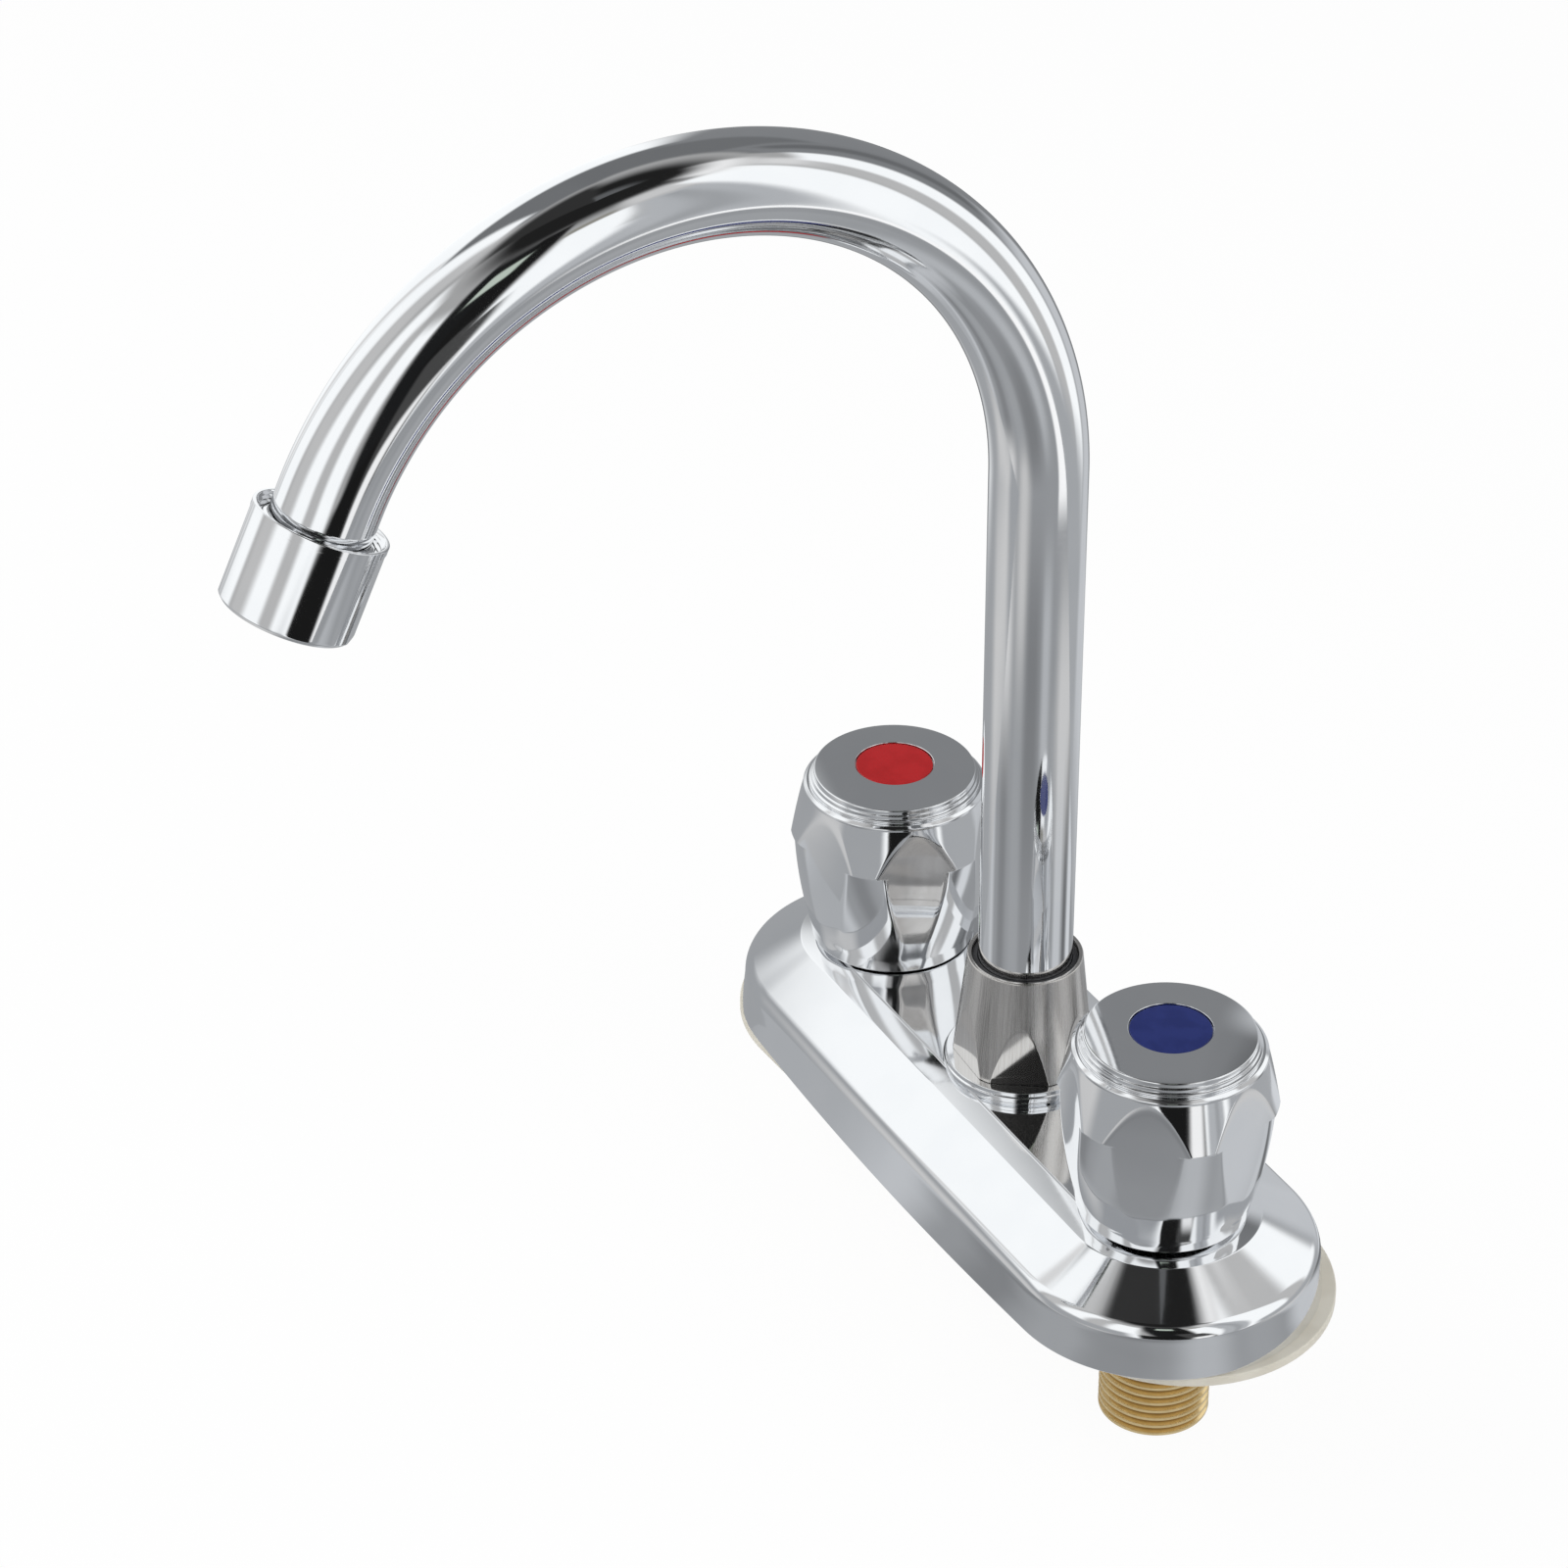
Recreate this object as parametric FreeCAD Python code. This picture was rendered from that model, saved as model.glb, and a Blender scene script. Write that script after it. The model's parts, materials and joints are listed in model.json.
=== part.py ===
import FreeCAD, Part
import math
import os

# A two-handle centreset basin mixer: a hollow deck plate with a swivel gooseneck spout between
# two quarter-turn handles. Sizes are in millimetres.
# The origin is the middle of the base gasket's underside. X runs along the handles, hot at -X,
# and cold at +X. The spout reaches towards -Y at rest, and +Z is up.

V = FreeCAD.Vector
UP = V(0, 0, 1)
os.makedirs("parts", exist_ok=True)

# Clearances
RUN = 0.08                 # radial play of a turning shaft in its bore
SLIP = 0.05                # radial play of pieces that push or screw together
FACE_GAP = 0.05            # play between flat faces that slide past each other

# Centres of the two inlets
INLET_PITCH = 101.6
HALF = INLET_PITCH / 2

# Base gasket, laid a little askew under the deck plate
GASKET_T = 2.0
GASKET_PROUD = 0.2         # how much wider it is than the deck plate's foot
GASKET_LONGER = 1.2
GASKET_TURN = 1.5
GASKET_SHIFT = (0.3, 0.5)
GASKET_HOLE_PLAY = 2.6     # radial room round each threaded shank

# Deck plate: each level of its outside is an outline with round ends and bowed sides
SIDE_BOW = 1.5
SKIRT_TOP_R = 30.15
SKIRT_DRAFT = 0.25
SKIRT_H = 9.5
RIDGE_R = 18.0
RIDGE_RISE = 6.4
FLAT_R = 13.8
FLAT_RISE = 1.9
DECK_WALL = 2.0
SKIRT_ROUND = 2.4
FLAT_ROUND = 0.4
SKIRT_FOOT_R = SKIRT_TOP_R + SKIRT_DRAFT
GASKET_R = SKIRT_FOOT_R + GASKET_PROUD
GASKET_HALF = HALF + GASKET_LONGER
DECK_FOOT = GASKET_T
SKIRT_TOP = DECK_FOOT + SKIRT_H
RIDGE_Z = SKIRT_TOP + RIDGE_RISE
FLAT_Z = RIDGE_Z + FLAT_RISE
CEILING_Z = FLAT_Z - DECK_WALL

# Threaded shanks, G1/2: 14 threads to the inch
SHANK_R = 10.4775
SHANK_PITCH = 1.814
SHANK_THREAD_DEPTH = 0.85
SHANK_CREST = 0.5
SHANK_BELOW = 28.3
SHANK_TURNS = 15
SHANK_BORE_R = 7.0
SHANK_NECK_R = 10.2

# Valve body under each handle
BODY_R = 12.5
BODY_RISE = 2.0            # its foot above the deck plate's foot
NECK_R = 10.0
NECK_RISE = 5.0            # above the deck's flat
CHAMBER_R = 8.0
SEAT_RISE = 2.0            # the seat above the body's foot
SEAT_T = 3.0
PORT_R = 4.0
GALLERY_R = 9.6
GALLERY_H = 8.0
NECK_TOP = FLAT_Z + NECK_RISE
BODY_FOOT = DECK_FOOT + BODY_RISE
SEAT_Z = BODY_FOOT + SEAT_RISE

# Crossover tubes from the valve bodies to the middle
CROSS_R = 6.0
CROSS_WALL = 1.0
CROSS_RISE = 3.5           # its axis above the seats
CROSS_HOLE_R = 4.5
SOCKET_R = 7.2
SOCKET_DEPTH = 5.0
SOCKET_BEYOND = 5.5        # how far a socket stands out from its body
CROSS_Z = SEAT_Z + CROSS_RISE

# Ring nut that clamps the deck plate to each valve body
DECK_NUT_R = 12.4
DECK_NUT_H = 3.8
DECK_NUT_SLOTS = 4
DECK_NUT_SLOT = 2.4
DECK_NUT_SLOT_DEPTH = 1.2

# Quarter-turn ceramic cartridge
SEAL_T = 1.2
DISC_R = 6.4
DISC_T = 2.0
DISC_HUB_R = 1.6
DISC_HOLE_R = 5.2
DISC_HOLE_SPAN = 84.0
CAGE_WALL = 1.5
CAGE_H = 8.3
CAGE_HEX = 17.0
CAGE_HEX_H = 2.8
TOWER_R = 6.0
TOWER_RISE = 15.2          # above the deck's flat
HOUSING_RING_DROP = 2.2    # the housing's seal below its collar
SPINDLE_R = 4.0
SPINDLE_SHORT = 0.1        # the spindle's end below the handle's web
DOG_R = 4.6
DOG_H = 3.0
TONGUE_W = 3.0
TONGUE_H = 0.8
STOP_LUG_R = 7.0
STOP_LUG_SPAN = 40.0
STOP_LUG_INSET = 0.4       # from the dog's top and foot
STOP_LUG_ROOM = 0.2
STOP_PLAY = 1.0            # degrees left at each end of the quarter turn
QUARTER = 90.0
WINDOW_SPAN = 70.0
SPLINE_TEETH = 20
SPLINE_DEPTH = 0.4
SPLINE_H = 11.0
GROOVE_DEPTH = 0.8
GROOVE_W = 1.6
RING_R = 0.4               # half the thickness of the small sealing rings
SPINDLE_GROOVE_RISE = 4.2  # the lower seal above the deck's flat
SPINDLE_GROOVE_STEP = 5.0
CLIP_PLAY = 0.1
CLIP_T = 0.8
CLIP_OUT = 1.6
CLIP_MOUTH = 50.0
TOWER_TOP = FLAT_Z + TOWER_RISE
SPINDLE_GROOVES = (FLAT_Z + SPINDLE_GROOVE_RISE, FLAT_Z + SPINDLE_GROOVE_RISE + SPINDLE_GROOVE_STEP)
CLIP_Z = TOWER_TOP + CLIP_PLAY

# Handle
HANDLE_GAP = 0.8
HANDLE_FOOT = FLAT_Z + HANDLE_GAP
HANDLE_FOOT_R = 16.0
HANDLE_BULGE = 0.75        # how far the lower side curves out past a straight line
HANDLE_WIDE_R = 20.4
HANDLE_WIDE_RISE = 23.9
TAB_STEP = 0.65            # how far the six tabs stand out above the lower side
SHOULDER_R = 18.2
SHOULDER_RISE = 33.8
SHOULDER_LIP = 0.5
CROWN_R = 17.3
CROWN_RISE = 35.0
HANDLE_BORE_R = 12.9
HANDLE_BORE_TOP_R = 15.0
HANDLE_FOOT_ROUND = 2.0
FLUTES = 6
FLUTE_FLOOR_R = 18.5       # distance of a flute's floor from the axis, where it is largest
FLUTE_FLOOR_RISE = 26.4
FLUTE_CROSS_R = 35.0       # hollow curve across a flute
FLUTE_RISE_R = 95.0        # full curve along a flute
FLUTE_TURN = -16.0
SOCKET_BOSS_R = 7.2
SOCKET_BOSS_PLAY = 0.7     # the boss above the spring clip
WEB_RISE = 28.4
WEB_T = 3.0
CAP_RECESS_R = 14.5
HANDLE_WIDE_Z = HANDLE_FOOT + HANDLE_WIDE_RISE
SHOULDER_Z = HANDLE_FOOT + SHOULDER_RISE
CROWN_Z = HANDLE_FOOT + CROWN_RISE
FLUTE_FLOOR_Z = HANDLE_FOOT + FLUTE_FLOOR_RISE
WEB_Z = HANDLE_FOOT + WEB_RISE
SOCKET_BOSS_FOOT = CLIP_Z + CLIP_T + SOCKET_BOSS_PLAY
SPINDLE_TOP = WEB_Z - SPINDLE_SHORT

# Handle cap, index button and screw
CAP_FLANGE_R = 17.0
CAP_FLANGE_H = 1.0
CAP_R = 16.3
CAP_H = 3.4
CAP_ROUND = 0.5
SPIGOT_WALL = 1.5
SPIGOT_H = 2.6
BUTTON_R = 7.65
BUTTON_T = 0.6
BUTTON_SUNK = 0.5
PEG_R = 1.45
PEG_H = 1.8
SCREW_R = 2.0
SCREW_L = 11.0
SCREW_HEAD_R = 3.8
SCREW_HEAD_H = 2.4
SCREW_SLOT = 1.0

# Outlet body in the middle
OUTLET_R = 12.0
OUTLET_RISE = 0.3          # its foot above the deck plate's foot
OUTLET_FLOOR = 2.0
OUTLET_NECK_R = 11.0
OUTLET_NECK_RISE = 11.2    # above the deck's flat
OUTLET_BORE_R = 8.6
OUTLET_FOOT = DECK_FOOT + OUTLET_RISE
OUTLET_NECK_TOP = FLAT_Z + OUTLET_NECK_RISE

# Collar ring and nut at the foot of the spout
COLLAR_R = 15.5
COLLAR_H = 3.45
COLLAR_RIM = 1.7
COLLAR_SINK = 0.95
COLLAR_GROOVE = 0.35
NUT_RISE = 25.0            # above the deck's flat
NUT_TOP_R = 11.05
NUT_FOOT_R = 13.4
NUT_HEX = 24.2
NUT_HEX_TURN = -3.8
NUT_SHOULDER_R = 9.3
NUT_ROUND = 0.4
BUSH_T = 0.67
BUSH_H = 6.6
BUSH_SUNK = 0.2
NUT_TOP = FLAT_Z + NUT_RISE
BUSH_SEAT_Z = NUT_TOP - BUSH_SUNK - BUSH_H

# Spout
TUBE_R = 9.0
TUBE_WALL = 1.0
FLARE_R = 10.4
FLARE_H = 1.2
BEND_Z = 148.9
BEND_R = 71.3
BEND_SWEEP = 154.5
TAIL = 3.9
SLEEVE_DEPTH = 16.5        # how far the sleeve reaches into the outlet body
SLEEVE_BORE_R = 6.4
SLEEVE_FLANGE_R = 10.6
SLEEVE_FLANGE_T = 1.95
SLEEVE_SPIGOT = 7.0
SLEEVE_RING_R = 0.6
SLEEVE_GROOVE_RISE = 3.5   # the lower seal above the sleeve's foot
SLEEVE_GROOVE_STEP = 5.0
SLIP_RING_T = 1.2
SLEEVE_FLANGE_Z = OUTLET_NECK_TOP + FACE_GAP
TUBE_FOOT = SLEEVE_FLANGE_Z + SLEEVE_FLANGE_T
SLEEVE_FOOT = OUTLET_NECK_TOP - SLEEVE_DEPTH
SLEEVE_GROOVES = (SLEEVE_FOOT + SLEEVE_GROOVE_RISE, SLEEVE_FOOT + SLEEVE_GROOVE_RISE + SLEEVE_GROOVE_STEP)

# Aerator, measured along the flow from the housing's upper rim
AER_R = 11.9
AER_L = 17.7
AER_BORE_R = 10.75
AER_BORE_L = 9.5
AER_CAGE_R = 10.2
AER_LIP_R = 8.8
AER_LIP_T = 1.2
AER_CHAMFER = 0.6
AER_FLAT_R = 11.45         # the two spanner flats' distance from the axis
AER_FLAT_L = 11.0
AER_THREAD_PITCH = 1.0
AER_THREADS = 8
AER_THREAD_DEPTH = 0.35
COLLAR_IN = 2.8            # from the rim to the end collar's flange
END_FLANGE_R = 10.5
END_FLANGE_T = 1.0
TUBE_IN = 8.0
WASHER_T = 1.6
WASHER_BORE_R = 7.2
INSERT_T = 6.0
INSERT_HOLE_R = 0.95
INSERT_STEP = 2.7
SCREEN_T = 0.9
SCREEN_HOLE_R = 0.5
SCREEN_STEP = 1.55


def turned(points):
    """A solid of revolution about the Z axis from (radius, height) corners."""
    corners = [V(r, 0, z) for r, z in points]
    face = Part.Face(Part.makePolygon(corners + [corners[0]]))
    return face.revolve(V(0, 0, 0), UP, 360)


def tube(outer, inner, low, high):
    return turned([(inner, low), (outer, low), (outer, high), (inner, high)])


def rod(radius, low, high, x=0.0, y=0.0):
    return Part.makeCylinder(radius, high - low, V(x, y, low), UP)


def bar_x(radius, start, end, z):
    """A round bar along X from start to end, at height z."""
    low, high = sorted((start, end))
    return Part.makeCylinder(radius, high - low, V(low, 0, z), V(1, 0, 0))


def sector(inner, outer, low, high, start, span):
    """Part of a ring between two heights, from the start angle through the span."""
    wedge = Part.makeCylinder(outer, high - low, V(0, 0, low), UP, span)
    wedge.rotate(V(0, 0, 0), UP, start)
    return wedge.cut(rod(inner, low, high))


def torus(major, minor, z):
    return Part.makeTorus(major, minor, V(0, 0, z), UP)


def hexagon(across, low, high, turn=0.0):
    """A six-sided prism, with a corner at the turn angle."""
    corner = across / math.sqrt(3)
    points = []
    for k in range(7):
        a = math.radians(turn + 60 * k)
        points.append(V(corner * math.cos(a), corner * math.sin(a), low))
    return Part.Face(Part.makePolygon(points)).extrude(V(0, 0, high - low))


def rims_at(shape, radius, z):
    """The circular edges of that radius at that height."""
    found = []
    for edge in shape.Edges:
        if not isinstance(edge.Curve, Part.Circle):
            continue
        if abs(edge.Curve.Radius - radius) < 0.001 and abs(edge.Curve.Center.z - z) < 0.001:
            found.append(edge)
    return found


def edges_at_height(shape, z):
    return [e for e in shape.Edges if abs(e.BoundBox.ZMin - z) < 0.001 and abs(e.BoundBox.ZMax - z) < 0.001]


def handed(side, start, span):
    """The start angle of a sector, mirrored for the cold side."""
    if side < 0:
        return start
    return 180.0 - start - span


def at_side(shape, side):
    """A copy of a valve's piece, moved from the middle to the hot or cold centre."""
    moved = shape.copy()
    moved.translate(V(side * HALF, 0, 0))
    return moved


def save(name, *solids):
    shape = solids[0] if len(solids) == 1 else Part.makeCompound(list(solids))
    if len(solids) == 1 and len(shape.Solids) == 1:
        shape = shape.Solids[0]
    shape.exportStep("parts/" + name + ".step")
    count = len(shape.Solids)
    print(f"{name:24s} solids {count} volume {shape.Volume:10.1f} valid {shape.isValid()}")


def outline(radius, bow, z, half=HALF):
    """The deck's outline at one level: two round ends, and two sides that bow outwards."""
    if bow > 0:
        far = (half * half + bow * bow) / (2 * bow)
        join_x = half + radius * half / far
        join_y = radius * (far - bow) / far
    else:
        join_x = half
        join_y = radius
    corner = {}
    for sx in (-1, 1):
        for sy in (-1, 1):
            corner[sx, sy] = V(sx * join_x, sy * join_y, z)

    def side_edge(start, end, sy):
        if bow > 0:
            return Part.Arc(start, V(0, sy * (radius + bow), z), end).toShape()
        return Part.LineSegment(start, end).toShape()

    def end_edge(start, end, sx):
        return Part.Arc(start, V(sx * (half + radius), 0, z), end).toShape()

    return Part.Wire([
        end_edge(corner[1, -1], corner[1, 1], 1),
        side_edge(corner[1, 1], corner[-1, 1], 1),
        end_edge(corner[-1, 1], corner[-1, -1], -1),
        side_edge(corner[-1, -1], corner[1, -1], -1),
    ])


def stacked(levels):
    """A solid through the deck's outlines at several levels of (radius, bow, height)."""
    return Part.makeLoft([outline(r, bow, z) for r, bow, z in levels], True, True)


def deck_plate():
    outside = stacked([
        (SKIRT_FOOT_R, SIDE_BOW, DECK_FOOT),
        (SKIRT_TOP_R, SIDE_BOW, SKIRT_TOP),
        (RIDGE_R, SIDE_BOW, RIDGE_Z),
        (FLAT_R, 0, FLAT_Z),
    ])
    outside = outside.makeFillet(SKIRT_ROUND, edges_at_height(outside, SKIRT_TOP))
    outside = outside.makeFillet(FLAT_ROUND, edges_at_height(outside, FLAT_Z))
    slope = math.atan2(RIDGE_RISE, SKIRT_TOP_R - RIDGE_R)
    drop = DECK_WALL / math.cos(slope)
    inside = stacked([
        (SKIRT_FOOT_R - DECK_WALL, SIDE_BOW, DECK_FOOT),
        (SKIRT_TOP_R - DECK_WALL, SIDE_BOW, SKIRT_TOP + DECK_WALL * math.tan(slope) - drop),
        (RIDGE_R, SIDE_BOW, RIDGE_Z - drop),
        (FLAT_R, 0, CEILING_Z),
    ])
    plate = outside.cut(inside)
    for side in (-1, 1):
        plate = plate.cut(rod(NECK_R + 2 * SLIP, DECK_FOOT, FLAT_Z, side * HALF))
    return plate.cut(rod(OUTLET_NECK_R + 2 * SLIP, DECK_FOOT, FLAT_Z))


def base_gasket():
    pad = Part.Face(outline(GASKET_R, 0, 0, GASKET_HALF)).extrude(V(0, 0, GASKET_T))
    for side in (-1, 1):
        pad = pad.cut(rod(SHANK_R + GASKET_HOLE_PLAY, 0, GASKET_T, side * HALF))
    pad.rotate(V(0, 0, 0), UP, GASKET_TURN)
    pad.translate(V(GASKET_SHIFT[0], GASKET_SHIFT[1], 0))
    return pad


def shank_profile():
    """The outside of the threaded shank, from its lower rim up, with ring-shaped ridges."""
    root = SHANK_R - SHANK_THREAD_DEPTH
    flank = (SHANK_PITCH - SHANK_CREST) / 3
    points = [(root, -SHANK_BELOW)]
    z = -SHANK_BELOW
    for _ in range(SHANK_TURNS):
        points.append((SHANK_R, z + flank))
        points.append((SHANK_R, z + flank + SHANK_CREST))
        points.append((root, z + 2 * flank + SHANK_CREST))
        points.append((root, z + SHANK_PITCH))
        z += SHANK_PITCH
    points.append((SHANK_NECK_R, z))
    return points


def valve_body(side):
    inward = -side
    outside = shank_profile()
    outside.append((SHANK_NECK_R, BODY_FOOT))
    outside.append((BODY_R, BODY_FOOT))
    outside.append((BODY_R, CEILING_Z))
    outside.append((NECK_R, CEILING_Z))
    outside.append((NECK_R, NECK_TOP))
    body = turned([(0, -SHANK_BELOW)] + outside + [(0, NECK_TOP)])
    mouth = inward * (BODY_R + SOCKET_BEYOND)
    body = body.fuse(bar_x(SOCKET_R, 0, mouth, CROSS_Z))
    body = body.cut(rod(SHANK_BORE_R, -SHANK_BELOW, SEAT_Z - SEAT_T))
    body = body.cut(rod(PORT_R, SEAT_Z - SEAT_T, SEAT_Z))
    body = body.cut(rod(CHAMBER_R, SEAT_Z, NECK_TOP))
    body = body.cut(rod(GALLERY_R, SEAT_Z, SEAT_Z + GALLERY_H))
    body = body.cut(bar_x(CROSS_R + SLIP, mouth - inward * SOCKET_DEPTH, mouth, CROSS_Z))
    return body.cut(bar_x(CROSS_HOLE_R, inward * CHAMBER_R, mouth, CROSS_Z))


def crossover_tube(side):
    outer_end = HALF - BODY_R - SOCKET_BEYOND + SOCKET_DEPTH
    inner_end = OUTLET_R + SOCKET_BEYOND - SOCKET_DEPTH
    pipe = bar_x(CROSS_R, side * inner_end, side * outer_end, CROSS_Z)
    return pipe.cut(bar_x(CROSS_R - CROSS_WALL, side * inner_end, side * outer_end, CROSS_Z))


def deck_nut():
    nut = tube(DECK_NUT_R, NECK_R + SLIP, FLAT_Z, FLAT_Z + DECK_NUT_H)
    for k in range(DECK_NUT_SLOTS):
        slot = Part.makeBox(DECK_NUT_R, DECK_NUT_SLOT, DECK_NUT_H / 2,
                            V(DECK_NUT_R - DECK_NUT_SLOT_DEPTH, -DECK_NUT_SLOT / 2, FLAT_Z + DECK_NUT_H / 2))
        slot.rotate(V(0, 0, 0), UP, 360.0 * k / DECK_NUT_SLOTS)
        nut = nut.cut(slot)
    return nut


FIXED_Z = SEAT_Z + SEAL_T
MOVING_Z = FIXED_Z + DISC_T
DOG_Z = MOVING_Z + DISC_T
CAGE_TOP = SEAT_Z + CAGE_H
LUG_LOW = DOG_Z + STOP_LUG_INSET
LUG_HIGH = DOG_Z + DOG_H - STOP_LUG_INSET
HOUSING_R = CHAMBER_R - SLIP
HOUSING_RING_Z = NECK_TOP - HOUSING_RING_DROP


def cartridge_housing(side):
    foot = SEAT_Z + 2 * FACE_GAP
    shell = turned([(0, foot), (HOUSING_R, foot), (HOUSING_R, NECK_TOP), (TOWER_R, NECK_TOP),
                    (TOWER_R, TOWER_TOP), (0, TOWER_TOP)])
    shell = shell.fuse(hexagon(CAGE_HEX, NECK_TOP, NECK_TOP + CAGE_HEX_H))
    shell = shell.cut(rod(HOUSING_R - CAGE_WALL, foot, CAGE_TOP))
    shell = shell.cut(rod(SPINDLE_R + RUN, CAGE_TOP, TOWER_TOP))
    groove_low = HOUSING_RING_Z - GROOVE_W / 2
    shell = shell.cut(tube(2 * HOUSING_R, HOUSING_R - GROOVE_DEPTH, groove_low, groove_low + GROOVE_W))
    span = STOP_LUG_SPAN + QUARTER + 2 * STOP_PLAY
    pocket = sector(SPINDLE_R, STOP_LUG_R + STOP_LUG_ROOM, LUG_LOW - STOP_LUG_ROOM,
                    LUG_HIGH + STOP_LUG_ROOM, handed(side, 0, span), span)
    shell = shell.cut(pocket)
    rest = (360.0 - span - 2 * WINDOW_SPAN) / 3
    for k in range(2):
        start = span + rest + k * (WINDOW_SPAN + rest)
        window = sector(SPINDLE_R, 2 * HOUSING_R, LUG_LOW, LUG_HIGH,
                        handed(side, start, WINDOW_SPAN), WINDOW_SPAN)
        shell = shell.cut(window)
    return shell


def disc_with_ports(radius, low, high, start):
    """A ceramic disc with two opposite openings."""
    disc = rod(radius, low, high)
    for k in range(2):
        disc = disc.cut(sector(DISC_HUB_R, DISC_HOLE_R, low, high, start + 180 * k, DISC_HOLE_SPAN))
    return disc


def fixed_disc():
    return disc_with_ports(DISC_R, FIXED_Z, MOVING_Z, -DISC_HOLE_SPAN / 2)


def moving_disc():
    disc = disc_with_ports(DISC_R - SLIP, MOVING_Z, DOG_Z, QUARTER - DISC_HOLE_SPAN / 2)
    slot = Part.makeBox(4 * DISC_R, TONGUE_W + 2 * SLIP, TONGUE_H,
                        V(-2 * DISC_R, -TONGUE_W / 2 - SLIP, DOG_Z - TONGUE_H))
    return disc.cut(slot)


def seat_seal():
    return tube(DISC_R, PORT_R, SEAT_Z, FIXED_Z)


def housing_seal():
    return torus(HOUSING_R - GROOVE_DEPTH + RING_R, RING_R, HOUSING_RING_Z)


SPINDLE_CORE_R = SPINDLE_R - GROOVE_DEPTH


def spindle(side):
    low = DOG_Z
    spline_z = SPINDLE_TOP - SPLINE_H
    body = rod(SPINDLE_R, low, spline_z)
    body = body.fuse(rod(DOG_R, low, low + DOG_H))
    tongue = Part.makeBox(2 * DOG_R, TONGUE_W, TONGUE_H, V(-DOG_R, -TONGUE_W / 2, low - TONGUE_H))
    body = body.fuse(tongue.common(rod(DOG_R, low - TONGUE_H, low)))
    start = handed(side, STOP_PLAY, STOP_LUG_SPAN)
    body = body.fuse(sector(SPINDLE_R / 2, STOP_LUG_R, LUG_LOW, LUG_HIGH, start, STOP_LUG_SPAN))
    points = []
    for k in range(2 * SPLINE_TEETH):
        radius = SPINDLE_R if k % 2 == 0 else SPINDLE_R - SPLINE_DEPTH
        a = math.pi * k / SPLINE_TEETH
        points.append(V(radius * math.cos(a), radius * math.sin(a), spline_z))
    spline = Part.Face(Part.makePolygon(points + [points[0]])).extrude(V(0, 0, SPLINE_H))
    body = body.fuse(spline)
    for z in SPINDLE_GROOVES:
        body = body.cut(tube(2 * SPINDLE_R, SPINDLE_CORE_R, z - GROOVE_W / 2, z + GROOVE_W / 2))
    body = body.cut(tube(2 * SPINDLE_R, SPINDLE_CORE_R, CLIP_Z, CLIP_Z + CLIP_T))
    return body.cut(rod(SCREW_R + SLIP, SPINDLE_TOP - SPLINE_H, SPINDLE_TOP))


def spindle_seals():
    return [torus(SPINDLE_CORE_R + RING_R, RING_R, z) for z in SPINDLE_GROOVES]


def spindle_clip():
    clip = tube(SPINDLE_R + CLIP_OUT, SPINDLE_CORE_R + SLIP, CLIP_Z, CLIP_Z + CLIP_T)
    mouth = sector(SPINDLE_R / 2, 2 * SPINDLE_R, CLIP_Z, CLIP_Z + CLIP_T, -CLIP_MOUTH / 2, CLIP_MOUTH)
    return clip.cut(mouth)


def handle_blank():
    """The handle before its flutes are cut: a curved lower side, a small step and a cone above."""
    low = V(HANDLE_FOOT_R, 0, HANDLE_FOOT)
    high = V(HANDLE_WIDE_R - TAB_STEP, 0, HANDLE_WIDE_Z)
    chord = high - low
    out = V(chord.z, 0, -chord.x) * (HANDLE_BULGE / chord.Length)
    corners = [high, V(HANDLE_WIDE_R, 0, HANDLE_WIDE_Z), V(SHOULDER_R, 0, SHOULDER_Z),
               V(SHOULDER_R, 0, SHOULDER_Z + SHOULDER_LIP), V(CROWN_R, 0, CROWN_Z), V(0, 0, CROWN_Z),
               V(0, 0, HANDLE_FOOT), low]
    edges = [Part.Arc(low, (low + high) * 0.5 + out, high).toShape()]
    for start, end in zip(corners, corners[1:]):
        edges.append(Part.makeLine(start, end))
    body = Part.Face(Part.Wire(edges)).revolve(V(0, 0, 0), UP, 360)
    return body.makeFillet(HANDLE_FOOT_ROUND, rims_at(body, HANDLE_FOOT_R, HANDLE_FOOT))


def handle(side):
    body = handle_blank()
    turn = FLUTE_TURN if side < 0 else -FLUTE_TURN
    for k in range(FLUTES):
        cutter = Part.makeTorus(FLUTE_RISE_R + FLUTE_CROSS_R, FLUTE_CROSS_R,
                                V(FLUTE_FLOOR_R - FLUTE_RISE_R, 0, FLUTE_FLOOR_Z), V(0, 1, 0))
        cutter.rotate(V(0, 0, 0), UP, turn + 360.0 * k / FLUTES)
        body = body.cut(cutter)
    depth = WEB_Z - HANDLE_FOOT
    body = body.cut(Part.makeCone(HANDLE_BORE_R, HANDLE_BORE_TOP_R, depth, V(0, 0, HANDLE_FOOT), UP))
    body = body.fuse(rod(SOCKET_BOSS_R, SOCKET_BOSS_FOOT, WEB_Z))
    body = body.cut(rod(SPINDLE_R + SLIP, SOCKET_BOSS_FOOT, WEB_Z))
    body = body.cut(rod(SCREW_R + 4 * SLIP, WEB_Z, WEB_Z + WEB_T))
    return body.cut(rod(CAP_RECESS_R, WEB_Z + WEB_T, CROWN_Z))


CAP_TOP = CROWN_Z + CAP_H
BUTTON_FLOOR = CAP_TOP - BUTTON_SUNK - BUTTON_T


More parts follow.
